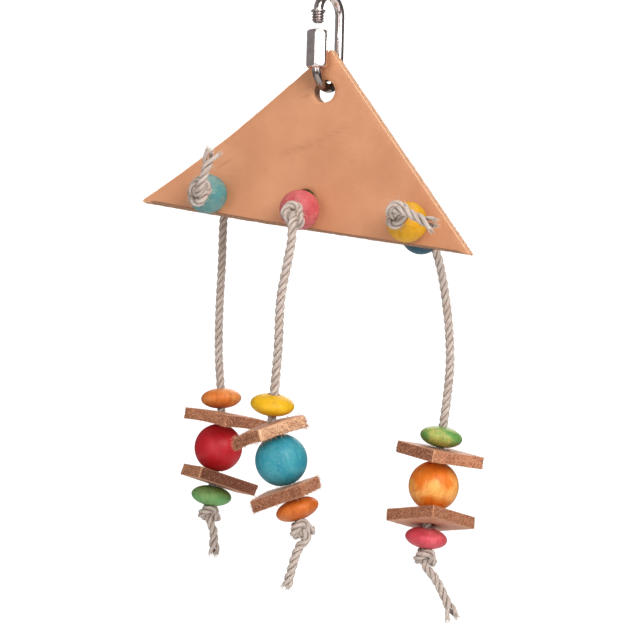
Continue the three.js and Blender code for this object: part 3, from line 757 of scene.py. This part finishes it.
def frayed_end(name, strands, finish, seed):
    """Loose fibres that go on from the cut ends of a rope's strands, each given by its last points."""
    dice = random.Random(seed)
    curve = bpy.data.curves.new(name + "_line", "CURVE")
    curve.dimensions = "3D"
    curve.bevel_depth = FRAY_RADIUS
    curve.bevel_resolution = 0
    for strand in strands:
        end = Vector(strand[-1])
        ahead = (end - Vector(strand[0])).normalized()
        aside = ahead.orthogonal().normalized()
        across = ahead.cross(aside)
        for _ in range(FRAY_COUNT):
            angle = dice.uniform(0, 2 * math.pi)
            reach = STRAND_RADIUS * math.sqrt(dice.random())
            radial = aside * math.cos(angle) + across * math.sin(angle)
            curl = Vector([dice.uniform(-1, 1) for _ in range(3)]) * FRAY_SPREAD * FRAY_CURL
            size = FRAY_LENGTH * dice.uniform(FRAY_SHORTEST, 1)
            spline = curve.splines.new("POLY")
            spline.points.add(FRAY_STEPS)
            for step, point in enumerate(spline.points):
                t = step / FRAY_STEPS
                place = end + radial * reach * (FRAY_ROOT + FRAY_SPREAD * t)
                place += ahead * size * (t - FRAY_ROOTED)
                place += curl * size * t * t
                point.co = (*place, 1)
                point.radius = 1 - FRAY_TAPER * t
    source = add_object(name + "_line", curve)
    bpy.context.view_layer.update()
    mesh = bpy.data.meshes.new_from_object(source)
    bpy.data.objects.remove(source)
    mesh.name = name
    mesh.materials.clear()
    mesh.materials.append(finish.material)
    return add_object(name, mesh)


# Leather
def rounded(corners, radii, spacing):
    """Points round a convex outline with rounded corners, anticlockwise, and the way out at each."""
    corners = [np.array(corner, float) for corner in corners]
    count = len(corners)
    ways = [corners[(i + 1) % count] - corners[i] for i in range(count)]
    ways = [way / np.linalg.norm(way) for way in ways]
    turns = [math.acos(float(np.clip(ways[i - 1] @ ways[i], -1, 1))) for i in range(count)]
    setbacks = [radius * math.tan(turn / 2) for radius, turn in zip(radii, turns)]
    points, normals = [], []
    for i in range(count):
        radius = radii[i]
        into, away = ways[i - 1], ways[i]
        start = corners[i] - into * setbacks[i]
        outward = np.array([into[1], -into[0]])
        centre = start - outward * radius
        steps = max(2, math.ceil(radius * turns[i] / spacing))
        for step in range(steps + 1):
            angle = turns[i] * step / steps
            cosine, sine = math.cos(angle), math.sin(angle)
            x, y = outward
            normal = np.array([x * cosine - y * sine, x * sine + y * cosine])
            points.append(centre + normal * radius)
            normals.append(normal)
        first = corners[i] + away * setbacks[i]
        last = corners[(i + 1) % count] - away * setbacks[(i + 1) % count]
        pieces = max(1, round(np.linalg.norm(last - first) / spacing))
        for step in range(1, pieces):
            points.append(first + (last - first) * step / pieces)
            normals.append(np.array([away[1], -away[0]]))
    return np.array(points), np.array(normals)


def ring(centre, diameter, worn, spacing):
    """Points round a hole that is worn to one side, and the way out of the leather at each."""
    angles = np.linspace(0, 2 * math.pi, max(16, round(math.pi * diameter / spacing)), endpoint=False)
    spokes = np.column_stack([np.cos(angles), np.sin(angles)])
    worn = np.array(worn)
    shares = np.maximum(0, spokes @ worn) / max(np.linalg.norm(worn), 1e-9)
    points = np.array(centre) + spokes * diameter / 2 + shares[:, None] * worn
    return points, -spokes


def within(spot, outline):
    """Whether a point lies inside a closed outline."""
    ahead = np.roll(outline, -1, axis=0)
    passed = (outline[:, 1] > spot[1]) != (ahead[:, 1] > spot[1])
    start, end = outline[passed], ahead[passed]
    meets = start[:, 0] + (spot[1] - start[:, 1]) * (end[:, 0] - start[:, 0]) / (end[:, 1] - start[:, 1])
    return np.count_nonzero(meets > spot[0]) % 2 == 1


def on_hide(spot, outlines):
    """Whether a point lies inside the first outline and in none of the holes after it."""
    return within(spot, outlines[0]) and not any(within(spot, hole) for hole in outlines[1:])


def wall_profile(bevel):
    """How far in and how high each level of a cut wall lies, from the front face to the back."""
    half = LEATHER_THICKNESS / 2
    rim = [(bevel * inset, half - bevel * drop) for inset, drop in RIM_CURVE]
    heights = [(half - bevel) * (1 - 2 * i / (WALL_LEVELS - 1)) for i in range(WALL_LEVELS)]
    return rim + [(0, height) for height in heights] + [(inset, -height) for inset, height in reversed(rim)]


def cut_height(spot, rough):
    """How far a raw cut stands proud at a spot given in millimetres."""
    wave, grain, nap = (noise.noise(spot * scale) * rough * share for scale, share in CUT_ROUGHNESS)
    return wave + (grain + nap)


def face_triangles(outlines, low, high, spacing):
    """Even spots over a face with holes, and triangles between its outlines' points and those spots."""
    border = np.vstack(outlines)
    inner = []
    for index, y in enumerate(np.arange(low[1], high[1], spacing * ROW_SHARE)):
        for x in np.arange(low[0] + (index % 2) * spacing / 2, high[0], spacing):
            spot = np.array([x, y])
            clear = np.min(np.linalg.norm(border - spot, axis=1)) > spacing * CLEAR_SHARE
            if clear and on_hide(spot, outlines):
                inner.append(spot)
    points = np.vstack([border, inner])
    edges = []
    start = 0
    for outline in outlines:
        count = len(outline)
        edges += [(start + i, start + (i + 1) % count) for i in range(count)]
        start += count
    triangles = delaunay_2d_cdt([Vector(p) for p in points], edges, [], 0, WELD)[2]
    return inner, [t for t in triangles if on_hide(points[list(t)].mean(axis=0), outlines)]


def leather_piece(name, corners, radii, bevel, holes, spacing, rough, slant, place, finish, seed):
    """A flat piece of thick leather with worn rims and rough cut walls, set in place by a function.

    Its lower edge is cut at a slant, farther back at the front by the given distance.
    """
    half = LEATHER_THICKNESS / 2
    loops = [(*rounded(corners, radii, OUTLINE_STEP), True)]
    loops += [(*ring(*hole, HOLE_STEP), False) for hole in holes]

    flat, height, cut, fuzz, faces, rims = [], [], [], [], [], []
    jitter = Vector((seed * SEED_SHIFT[0], seed * SEED_SHIFT[1], 0))
    for points, normals, outer in loops:
        wear = 1.0 if outer else HOLE_WEAR
        rings = []
        for inset, level in wall_profile(bevel):
            rings.append(range(len(flat), len(flat) + len(points)))
            for point, normal in zip(points, normals):
                deep = 1 - min(inset / bevel, 1)
                roughness = RIM_ROUGHNESS + (1 - RIM_ROUGHNESS) * deep
                proud = cut_height(Vector((*point, level)) / MM + jitter, rough) * roughness
                proud -= (inset + EDGE_SETBACK * deep) * wear
                if outer:
                    ease = min(1, min(math.dist(point, corner) for corner in corners) / SLANT_EASE) ** 2
                    facing = max(0, -normal[1]) ** SLANT_FADE
                    proud -= slant * ease * facing * (level + half) / LEATHER_THICKNESS
                flat.append(point + normal * proud)
                height.append(level)
                cut.append(deep)
                fuzz.append(deep if outer else 0.0)
        for upper, lower in zip(rings, rings[1:]):
            count = len(upper)
            for i in range(count):
                j = (i + 1) % count
                faces.append((upper[i], lower[i], lower[j], upper[j]))
        rims.append((rings[0], rings[-1]))

    outlines = [np.array([flat[i] for i in rim[0]]) for rim in rims]
    inner, triangles = face_triangles(outlines, np.min(corners, axis=0), np.max(corners, axis=0), spacing)
    front, back = ([i for rim in rims for i in rim[side]] for side in (0, 1))
    for numbers, level in ((front, half), (back, -half)):
        numbers += range(len(flat), len(flat) + len(inner))
        flat += inner
        height += [level] * len(inner)
        cut += [0.0] * len(inner)
        fuzz += [0.0] * len(inner)
    for triangle in triangles:
        faces.append(tuple(front[i] for i in triangle))
        faces.append(tuple(back[i] for i in reversed(triangle)))
    flat = np.array(flat)
    local = np.column_stack([flat[:, 0], -np.array(height), flat[:, 1]]) / MM
    positions = place(flat, np.array(height))
    return plain_piece(name, positions, faces, finish, {"local": local, "cut": cut, "fuzz": fuzz})


def cut_edge(finish, local, dark, light):
    """Colour and height of a raw cut through thick hide."""
    clump = finish.noise(local, 1.0, 4.0, 0.7)
    speck = finish.noise(local, 3.2, 3.0, 0.7)
    colour = finish.mix((clump * 0.4 + speck * 0.6).step(0.41, 0.6), dark, light)
    return colour, clump * 0.6 + speck


def plate_finish():
    finish = Finish("plate_leather")
    local = finish.attribute("local")
    cut = finish.attribute("cut", "Fac")
    cloud = finish.noise(local, 0.035, 4.0, 0.55)
    mottle = finish.noise(local, 0.22, 4.0, 0.6)
    pores = finish.cells(local, 1.9)
    crease = finish.noise(finish.vector("MULTIPLY", local, (0.03, 0.03, 0.35)), 1.0, 4.0, 0.6, 1.2)
    grain = finish.mix(cloud.step(0.3, 0.7), srgb(197, 134, 94), srgb(208, 146, 106))
    grain = finish.mix(mottle.step(0.5, 0.8) * 0.25, grain, srgb(184, 120, 84))
    streak = finish.noise(finish.vector("MULTIPLY", local, (0.12, 0.12, 0.9)), 1.0, 3.0, 0.6)
    streak = streak.step(0.4, 0.62)
    scratch = finish.stroke(local, (-49.6, -3, -42), (9.2, 0, 7.7), 14, 1.4)
    smear = finish.stroke(local, (-9, -3, -29), (40, 0, 17), 34, 7) * (0.4 + streak * 0.6)
    trace = finish.stroke(local, (10, -3, -19), (40, 0, 24), 30, 6) * streak
    fold = finish.stroke(local, (-10, -3, -3), (10, 0, 5), 12, 2.4)
    grain = finish.mix(scratch * 0.6 + smear * 0.5 + trace * 0.3 + fold * 0.3, grain, srgb(168, 104, 68))
    flesh_noise = finish.noise(local, 0.6, 5.0, 0.7)
    flesh = finish.mix(flesh_noise.step(0.35, 0.7), srgb(176, 124, 92), srgb(208, 160, 124))
    depth = finish.add("ShaderNodeSeparateXYZ", None, {0: local}).of("Y")
    back = depth.step(2.0, 2.9)
    painted_shading = finish.attribute("painted_shading", "Fac")
    edge, edge_height = cut_edge(finish, local, srgb(190, 134, 98), srgb(244, 194, 154))
    # Painted shade on the lower cut wall, which faces down, and on the hole walls
    edge = finish.mix(painted_shading.step(0.0, -1.0), edge, srgb(70, 34, 20))
    # Rim colour: a painted highlight on the upper sides' rims, painted shade on the lower side's and the
    # holes' rims
    rim = finish.mix(painted_shading.step(-0.2, 0.0), srgb(132, 84, 60), srgb(246, 196, 154))
    colour = finish.mix(back, grain, flesh)
    colour = finish.mix(cut.step(0.05, 0.4), colour, rim)
    colour = finish.mix(cut.step(0.6, 1.0), colour, edge)
    height = pores.step(0.0, 0.5) * 0.12 + mottle * 0.3 + crease * 0.35
    height = height + edge_height * cut * 0.6 + flesh_noise * back
    rough = 0.5 + mottle * 0.14 + cut * 0.3 + back * 0.3
    finish.surface({"Base Color": colour, "Roughness": rough, "Normal": finish.bump(height, 0.00025)})
    return finish


def square_finish():
    finish = Finish("square_leather")
    local = finish.attribute("local")
    cut = finish.attribute("cut", "Fac")
    cloud = finish.noise(local, 0.12, 4.0, 0.6)
    painted_shading = finish.attribute("painted_shading", "Fac")
    nap = finish.noise(local, 1.6, 5.0, 0.7)
    face = finish.mix(cloud.step(0.3, 0.7), srgb(184, 126, 96), srgb(206, 150, 118))
    face = finish.mix(nap.step(0.5, 0.8) * 0.5, face, srgb(160, 104, 76))
    edge, edge_height = cut_edge(finish, local, srgb(124, 56, 32), srgb(246, 172, 126))
    # Cut sides painted lighter where lit and darker where in shade, as their painted shading says
    edge = finish.mix(painted_shading.step(0.0, 1.0), edge, srgb(255, 210, 168))
    edge = finish.mix(painted_shading.step(0.0, -1.0), edge, srgb(84, 34, 18))
    colour = finish.mix(cut.step(0.05, 0.4), face, srgb(222, 166, 132))
    colour = finish.mix(cut.step(0.5, 1.0), colour, edge)
    height = nap * 0.6 + edge_height * cut * 0.9
    rough = 0.6 + cut * 0.25
    finish.surface({"Base Color": colour, "Roughness": rough, "Normal": finish.bump(height, 0.0003)})
    return finish


# The plate's own plane lies about its apex hole
PLATE_MIDDLE = Vector((0, 0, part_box("leather_plate")[1].z - APEX_ABOVE_HOLE * math.cos(PLATE_TILT)))


def on_plate(flat, height):
    """Places points of the flat plate, with the curl of its left corner and its tilt."""
    leg = math.sqrt(0.5)
    along = (-flat[:, 0] + (APEX_ABOVE_HOLE - flat[:, 1])) * leg
    share = np.maximum(0, along - CURL_START) / (PLATE_LEG - CURL_START)
    slope = 2 * share / (PLATE_LEG - CURL_START)
    lean = np.column_stack([-leg + 0 * slope, -CURL_FORWARD * slope, -leg + CURL_LIFT * slope])
    front = np.cross(lean, (leg, 0, -leg))
    front /= np.linalg.norm(front, axis=1)[:, None]
    spots = np.column_stack([flat[:, 0], -CURL_FORWARD * share ** 2, flat[:, 1] + CURL_LIFT * share ** 2])
    spots += front * height[:, None]
    turn = np.array(Matrix.Rotation(PLATE_TILT, 3, "Y"))
    return spots @ turn.T + np.array(PLATE_MIDDLE)


def flat_spots(piece):
    """Where each vertex of a leather piece lies in the flat: across, back and up."""
    spots = np.empty(len(piece.data.vertices) * 3, np.float32)
    piece.data.attributes["local"].data.foreach_get("vector", spots)
    return spots.reshape(-1, 3).T * MM


def make_plate(finish):
    """The plate and its holes, with a painted highlight on the rims of its upper cut sides, and painted
    shade on the cut walls and rims of its lower side and its holes.
    """
    low = APEX_ABOVE_HOLE - HALF_EDGE
    corners = [(0, APEX_ABOVE_HOLE + PLATE_APEX_OUT), (-HALF_EDGE - PLATE_LEFT_OUT, low), (HALF_EDGE, low)]
    holes = [((0, APEX_HOLE_SHRUNK / 2), HOLE_DIAMETER - APEX_HOLE_SHRUNK, (0.0, 0.0))]
    for strand in STRANDS.values():
        across, up = strand["hole"]
        holes.append(((across, low + up), HOLE_DIAMETER, strand["worn"]))
    plate = leather_piece(
        "plate_hide", corners, (PLATE_CORNER,) * 3, PLATE_BEVEL, holes, PLATE_SPACING, PLATE_ROUGH,
        PLATE_SLANT, on_plate, finish, seed=1,
    )
    # Marks the lower side and the holes for painted shade, and the upper sides for a painted highlight on
    # their rims
    x, _, y = flat_spots(plate)
    sides = (abs(x) + y - APEX_ABOVE_HOLE) * math.sqrt(0.5) > -PLATE_SIDE
    add_values(plate.data, "painted_shading", np.where(sides, 0.0, LOWER_PAINTED_SHADE))
    return plate


def make_square(name, side, spin, aside, look, finish, seed):
    """A leather square whose middle lies aside of its bore, domed over it and with one corner drooping.

    Its left and right cut sides are painted lighter, as if lit, where their tones are above 0, and painted
    darker, as shade, where they are below 0. The two meet in a painted highlight line.
    """
    joint = joints[f"{name}_spin"]
    spin = math.radians(spin)
    turn = UP.rotation_difference(Vector(joint["axis"])).to_matrix() @ Matrix.Rotation(spin, 3, "Z")
    bore = np.array(joint["pos_m"])
    x, y = aside * math.cos(spin), -aside * math.sin(spin)
    half = side / 2

    def on_rope(flat, height):
        u, v = (flat[:, 0] - x) / half, (flat[:, 1] - y) / half
        out = np.sum(flat ** 2, axis=1) / (2 * half ** 2)
        nearness = np.maximum(0, (2 - u - v) / 4 - 0.5) * 2
        bend = -look["dome"] * out - look["droop"] * nearness ** DROOP_EASE
        return np.column_stack([flat, height + bend]) @ np.array(turn).T + bore

    corners = [(x + half * across, y + half * along) for across, along in SQUARE_CORNERS]
    holes = [((0, 0), SQUARE_BORE, (0.0, 0.0))]
    square = leather_piece(
        name + "_hide", corners, look["radii"], look["bevel"], holes, SQUARE_SPACING, look["rough"],
        0.0, on_rope, finish, seed,
    )
    across, _, along = flat_spots(square)
    u, v = across - x, along - y
    # Painted light and shade on each cut side, and a painted highlight line down the front corner
    left, right = look["painted_shadings"]
    painted_shading = np.where(-v > abs(u), left, np.where(u > abs(v), right, (left + right) / 2))
    painted_shading[np.hypot(u - half, v + half) < CORNER_LINE] += CORNER_PAINTED_HIGHLIGHT
    add_values(square.data, "painted_shading", painted_shading)
    return square


# Round forms
def band(low, high, sides):
    """Faces between two rings of vertices that begin at the given numbers."""
    faces = []
    for i in range(sides):
        j = (i + 1) % sides
        faces.append((low + i, low + j, high + j, high + i))
    return faces


def tube_faces(rings, sides):
    """Faces of a capped tube whose vertices are given ring by ring."""
    last = (rings - 1) * sides
    faces = []
    for start in range(0, last, sides):
        faces += band(start, start + sides, sides)
    return faces + [tuple(range(sides)), tuple(range(last, last + sides))]


def column(radii, heights, sides):
    """Vertices of an upright form, ring by ring, whose radius is a function of angle and level."""
    vertices = []
    for level, height in enumerate(heights):
        for i in range(sides):
            angle = 2 * math.pi * i / sides
            radius = radii(angle, level)
            vertices.append(np.array([radius * math.cos(angle), radius * math.sin(angle), height]))
    return vertices


def revolved(profile, sides):
    """Vertices of an upright round form, ring by ring, from the radius and height of each ring."""
    return column(lambda angle, level: profile[level][0], [height for _, height in profile], sides)


# Turned wood
def turned(name, diameter, thickness, bore, middle, axis, finish):
    """A bead, ball or disc with a broken edge round its bore."""
    inner = bore / 2
    edge = math.acos((inner + BROKEN_EDGE) / (diameter / 2))
    top = thickness / 2 * math.sin(edge)
    profile = []
    for i in range(TURNED_STEPS + 1):
        angle = -edge + 2 * edge * i / TURNED_STEPS
        profile.append((diameter / 2 * math.cos(angle), thickness / 2 * math.sin(angle)))
    mouth = [(inner + BROKEN_EDGE * wide, top - BROKEN_EDGE * deep) for wide, deep in MOUTH_CURVE]
    profile += mouth + [(inner, 0.0)] + [(radius, -height) for radius, height in reversed(mouth)]
    rings = [row * TURNED_SIDES for row in range(len(profile))]
    faces = []
    for here, over in zip(rings, rings[1:] + rings[:1]):
        faces += band(here, over, TURNED_SIDES)
    local = np.array(revolved(profile, TURNED_SIDES))
    turn = np.array(UP.rotation_difference(Vector(axis)).to_matrix())
    positions = local @ turn.T + np.array(middle)
    return plain_piece(name, positions, faces, finish, {"local": local / MM})


def wood_finish(name, dye, number):
    """Dyed wood with its grain along the bore, and a thin satin finish."""
    colour, worn, band_share, line_share, fleck_share, patch_share = dye
    finish = Finish(name + "_dye", **{
        "Coat Roughness": 0.35, "Coat Weight": 0.06, "Specular IOR Level": 0.35,
    })
    local = finish.vector("ADD", finish.attribute("local"), (number * 31.0, number * 17.0, number * 5.0))
    drawn = finish.vector("MULTIPLY", local, (1, 1, 0.09))
    bands = finish.noise(drawn, 0.35, 3.0, 0.55, 0.6)
    lines = finish.noise(drawn, 1.7, 3.0, 0.6)
    pores = finish.noise(finish.vector("MULTIPLY", local, (1, 1, 0.16)), 3.4, 2.0, 0.6)
    blotch = finish.noise(local, 0.09, 3.0, 0.55, 0.4)
    dark = tuple(0.7 * c ** 1.25 for c in colour[:3]) + (1,)
    fleck = dark if fleck_share > 0 else tuple(c + (0.75 - c) * 0.6 for c in colour[:3]) + (1,)
    shade = finish.mix(blotch.step(0.4, 0.6) * patch_share, colour, worn)
    shade = finish.mix(bands.step(0.4, 0.75) * band_share, shade, dark)
    shade = finish.mix(lines.step(0.54, 0.72) * line_share, shade, dark)
    shade = finish.mix(pores.step(0.62, 0.74) * abs(fleck_share), shade, fleck)
    finish.surface({
        "Base Color": shade,
        "Roughness": 0.4 + lines * 0.16,
        "Normal": finish.bump(lines * line_share + pores * abs(fleck_share), 0.0001),
    })
    return finish


# Steel
def swept(path, radius, sides):
    """Vertices and faces of a round bar along points in the plane of x = 0."""
    path = np.array(path)
    tangents = np.gradient(path, axis=0)
    tangents /= np.linalg.norm(tangents, axis=1)[:, None]
    across = np.array([1.0, 0, 0])
    vertices = []
    for point, tangent in zip(path, tangents):
        other = np.cross(tangent, across)
        for i in range(sides):
            angle = 2 * math.pi * i / sides
            vertices.append(point + radius * (across * math.cos(angle) + other * math.sin(angle)))
    return vertices, tube_faces(len(path), sides)


ROD_RADIUS = ROD_DIAMETER / 2
UPPER_BOW = ROD_RADIUS - BOW_RADIUS
LOWER_BOW = -LINK_INNER_LENGTH - ROD_RADIUS + BOW_RADIUS
THREAD_BOTTOM = UPPER_BOW - THREAD_RIDGES * THREAD_PITCH
SLEEVE_TOP = THREAD_BOTTOM - GATE_GAP


def bow(middle, start):
    angles = np.linspace(start, start + math.pi, BOW_STEPS + 1)
    return [(0, -BOW_RADIUS * math.cos(a), middle + BOW_RADIUS * math.sin(a)) for a in angles]


def make_link(finish):
    arm = -BOW_RADIUS
    hidden = SLEEVE_TOP - SLEEVE_LENGTH / 2
    path = [(0, arm, UPPER_BOW - ROD_IN_THREAD)] + bow(UPPER_BOW, 0)
    for i in range(1, BACK_STEPS):
        path.append((0, BOW_RADIUS, UPPER_BOW + (LOWER_BOW - UPPER_BOW) * i / BACK_STEPS))
    path += bow(LOWER_BOW, math.pi) + [(0, arm, hidden)]
    solids = [swept(path, ROD_RADIUS, ROD_SIDES)]

    crest = THREAD_DIAMETER / 2
    root = crest - THREAD_PITCH / 2
    levels = THREAD_RIDGES * RIDGE_LEVELS
    span = THREAD_RIDGES * THREAD_PITCH

    def ridge(angle, level):
        turns = (level / RIDGE_LEVELS - angle / (2 * math.pi)) % 1
        share = 1 - abs(2 * turns - 1)
        fade = min(1, level / THREAD_LEAD_IN)
        return root + (crest - root) * min(1, share * RIDGE_FLAT) * fade - (1 - fade) * THREAD_TIP

    heights = [THREAD_BOTTOM + span * i / levels for i in range(levels + 1)]
    solids.append((column(ridge, heights, THREAD_SIDES), tube_faces(len(heights), THREAD_SIDES)))

    outer = COLLAR_DIAMETER / 2
    collar = [(outer - COLLAR_SOFT, 0), (outer, COLLAR_SOFT), (outer, COLLAR_LENGTH - COLLAR_SOFT)]
    collar += [(outer - COLLAR_SOFT, COLLAR_LENGTH), (ROD_RADIUS, COLLAR_LENGTH + COLLAR_FILLET)]
    collar = [(radius, UPPER_BOW + height) for radius, height in collar]
    solids.append((revolved(collar, THREAD_SIDES), tube_faces(len(collar), THREAD_SIDES)))

    vertices, faces = [], []
    for index, (more, sides) in enumerate(solids):
        start = len(vertices)
        shift = np.array([0, arm if index else 0, 0])
        vertices += [vertex + shift for vertex in more]
        faces += [tuple(start + i for i in side) for side in sides]
    return place_steel("link_steel", vertices, faces, finish)


def make_sleeve(finish):
    soft = SLEEVE_SOFT / 2
    bore = SLEEVE_BORE / 2
    corner = SLEEVE_FLATS / 2 / math.cos(math.pi / 6)
    ends = [*SLEEVE_ROUND, (SLEEVE_FULL, corner)]
    limits = ends + [(SLEEVE_LENGTH - z, r) for z, r in reversed(ends)]

    def hexagon(angle, level):
        turned_by = (angle - SLEEVE_TURN) % (math.pi / 3) - math.pi / 6
        flat = SLEEVE_FLATS / 2 / math.cos(turned_by)
        limit = min(limits[level][1], corner - SLEEVE_CORNER_WEAR)
        return -SLEEVE_BLEND * math.log(math.exp(-flat / SLEEVE_BLEND) + math.exp(-limit / SLEEVE_BLEND))

    heights = [SLEEVE_TOP - SLEEVE_LENGTH + z for z, _ in limits]
    inside = [(bore + soft, heights[0]), (bore, heights[0] + soft)]
    inside += [(bore, heights[-1] - soft), (bore + soft, heights[-1])]
    vertices = column(hexagon, heights, SLEEVE_SIDES)
    faces = tube_faces(len(heights), SLEEVE_SIDES)[:-2]
    rows = [len(vertices) + SLEEVE_SIDES * k for k in range(len(inside))]
    for low, high in [*zip(rows, rows[1:]), (0, rows[0]), (rows[0] - SLEEVE_SIDES, rows[-1])]:
        faces += band(low, high, SLEEVE_SIDES)
    vertices += revolved(inside, SLEEVE_SIDES)
    vertices = [vertex + np.array([0, -BOW_RADIUS, 0]) for vertex in vertices]
    return place_steel("sleeve_steel", vertices, faces, finish)


def place_steel(name, vertices, faces, finish):
    local = np.array(vertices)
    positions = local @ np.array(Matrix.Rotation(LINK_YAW, 3, "Z")).T
    piece = plain_piece(name, positions, faces, finish, {"local": local / MM})
    piece.data.set_sharp_from_angle(angle=SHARP_ANGLE)
    return piece


def steel_finish():
    """Polished steel, rougher on the thread, and darkened on the thread and on the lower bow by painted
    shade.
    """
    finish = Finish("polished_steel", Metallic=1.0)
    local = finish.attribute("local")
    cloud = finish.noise(local, 0.3, 3.0, 0.5)
    parts = finish.add("ShaderNodeSeparateXYZ", None, {0: local})
    level = parts.of("Z")
    thread = parts.of("Y").step(0.0, -2.0) * level.step(THREAD_BOTTOM / MM - 0.3, THREAD_BOTTOM / MM + 0.1)
    thread = thread * level.step(UPPER_BOW / MM + 1.2, UPPER_BOW / MM + 0.9)
    # Painted shade on the lower bow, standing in for its dark reflections
    lower_bow_shade = level.step(LOWER_BOW / MM - 1, LOWER_BOW / MM - 4)
    colour = finish.mix(cloud.step(0.3, 0.7), srgb(222, 206, 202), srgb(238, 226, 222))
    # The thread's colour is darkened by painted shade too; its added roughness is real
    colour = finish.mix(thread * 0.6, colour, srgb(118, 108, 106))
    colour = finish.mix(lower_bow_shade * 0.75, colour, srgb(112, 100, 94))
    finish.surface({"Base Color": colour, "Roughness": 0.09 + cloud * 0.08 + thread * 0.2})
    return finish


# Ropes
rope = rope_finish()
rope_maker = rope_tree()
fibre_maker = fibre_tree()
rope_hair = hair_finish("rope_hair", srgb(180, 160, 144), srgb(232, 220, 208))
lines = {name: rope_line(name) for name in STRANDS}


def fibres(name, piece, kind, seed, finish):
    return made_by(name, piece, fibre_maker, {**kind, "Seed": seed, "Material": finish.material})


for number, (name, line) in enumerate(lines.items()):
    knots = line["knots"]
    tied_length = len(line["tied"]) * ROPE_STEP
    tail_split, end_split = STRANDS[name]["splits"]
    tied, tied_strands = rope_piece(
        f"{name}_tied_sisal", line["tied"], knots, 0.0, (tail_split, 0), rope, rope_maker
    )
    hanging, hanging_strands = rope_piece(
        f"{name}_hanging_sisal", line["hanging"], knots, tied_length, (0, end_split), rope, rope_maker
    )
    tied_fuzz = fibres(f"{name}_tied_fuzz", tied, ROPE_FUZZ, number, rope_hair)
    hanging_fuzz = fibres(f"{name}_hanging_fuzz", hanging, ROPE_FUZZ, number + 10, rope_hair)
    tail_fray = frayed_end(f"{name}_tail_fray", tied_strands[:, END_POINTS - 1::-1], rope_hair, number)
    end_fray = frayed_end(f"{name}_end_fray", hanging_strands[:, -END_POINTS:], rope_hair, number + 20)
    for piece in (tied, tied_fuzz, tail_fray):
        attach(piece, "plate")
    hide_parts(f"{name}_tied_rope")
    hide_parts(f"{name}_hanging_rope")
    start = line["last_knot"] + UP * BLEND_ABOVE
    end = line["swing"] - UP * BLEND_BELOW
    for piece in (hanging, hanging_fuzz):
        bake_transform(piece)
    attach(end_fray, f"{name}_strand")


# Leather plate and squares
plate_leather = plate_finish()
square_leather = square_finish()
edge_hair = hair_finish("edge_hair", srgb(156, 94, 64), srgb(250, 198, 160))
plate = make_plate(plate_leather)
plate_fuzz = fibres("plate_fuzz", plate, PLATE_FUZZ, 3, edge_hair)
for piece in (plate, plate_fuzz):
    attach(piece, "plate")
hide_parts("leather_plate")

stack = {name: [] for name in STRANDS}
for number, (name, look) in enumerate(SQUARES.items()):
    strand = name.split("_")[0]
    row = 0 if "upper" in name else 1
    square = make_square(
        name, STRANDS[strand]["square_side"], STRANDS[strand]["spins"][row], STRANDS[strand]["asides"][row],
        look, square_leather, number + 2,
    )
    hairs = {**SQUARE_FUZZ, "Density": look["fuzz"], "Length": look["hair"]}
    fuzz = fibres(name + "_fuzz", square, hairs, number + 40, edge_hair)
    for piece in (square, fuzz):
        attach(piece, name)
        stack[strand].append(piece)
    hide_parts(name)


# Wooden pieces, with their slots from the record
for number, (node, dye) in enumerate(WOODS.items()):
    finish = wood_finish(node, dye, number)
    low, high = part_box(node)
    joint = joints.get(node + "_spin") or joints[node + "_slide"]
    form = node.split("_")[-1]
    piece = turned(node + "_wood", *WOOD_FORMS[form], (low + high) / 2, joint["axis"], finish)
    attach(piece, node)
    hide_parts(node)
    if form != "bead":
        stack[node.split("_")[0]].append(piece)


# Link and sleeve
steel = steel_finish()
link = make_link(steel)
sleeve = make_sleeve(steel)
for piece, node, body in ((link, "quick_link", "link"), (sleeve, "link_sleeve", "sleeve")):
    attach(piece, body)
    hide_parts(node)


# Floor, light and backdrop
def make_floor():
    finish = Finish("floor_paper", Roughness=0.9)
    place = finish.add("ShaderNodeTexCoord").of("Object")
    grey = finish.mix(finish.noise(place, 3.0), srgb(240, 240, 240), srgb(246, 246, 245))
    finish.surface({"Base Color": grey})
    mesh = bpy.data.meshes.new("floor")
    corners = [(x * FLOOR_REACH, y * FLOOR_REACH, FLOOR_HEIGHT) for x, y in SQUARE_CORNERS]
    mesh.from_pydata(corners, [], [(0, 1, 2, 3)])
    mesh.materials.append(finish.material)
    add_object("floor", mesh)


def make_light(name, place, size, power):
    data = bpy.data.lights.new(name, "AREA")
    data.shape = "RECTANGLE"
    data.size, data.size_y = size
    data.energy = power
    light = add_object(name, data)
    light.location = place
    light.rotation_euler = (Vector(LIGHT_TARGET) - Vector(place)).to_track_quat("-Z", "Y").to_euler()


def make_world():
    world = bpy.data.worlds.new("studio")
    world.use_nodes = True
    bpy.context.scene.world = world
    tree = Tree(world.node_tree)
    background = world.node_tree.nodes["Background"]
    rays = tree.add("ShaderNodeLightPath")
    way = tree.add("ShaderNodeTexCoord").of("Generated")
    right = (math.cos(VIEW_AZIMUTH), math.sin(VIEW_AZIMUTH), 0)
    toward = (math.sin(VIEW_AZIMUTH), -math.cos(VIEW_AZIMUTH), 0)
    aside = tree.vector("DOT_PRODUCT", way, right).of("Value")
    near = tree.vector("DOT_PRODUCT", way, toward).of("Value")
    height = tree.add("ShaderNodeSeparateXYZ", None, {0: way}).of("Z")
    lift = height.step(-0.6, 0.7)
    room = 0.12 + lift * 0.17
    panel = aside.step(0.1, 0.3) * aside.step(0.9, 0.7) * near.step(0.2, 0.5) * abs(height).step(0.3, 0.1)
    mirrored = 0.07 + panel * 1.1 + aside.step(-0.3, -0.9) * 0.15 + lift * 0.06
    level = room + rays.of("Is Glossy Ray") * (mirrored - room) + rays.of("Is Camera Ray")
    tree.feed(background.inputs["Color"], tree.joined(level, level, level))
    background.inputs["Strength"].default_value = 1.0


make_floor()
make_world()
for name, (place, size, power) in LIGHTS.items():
    make_light(name, place, size, power)
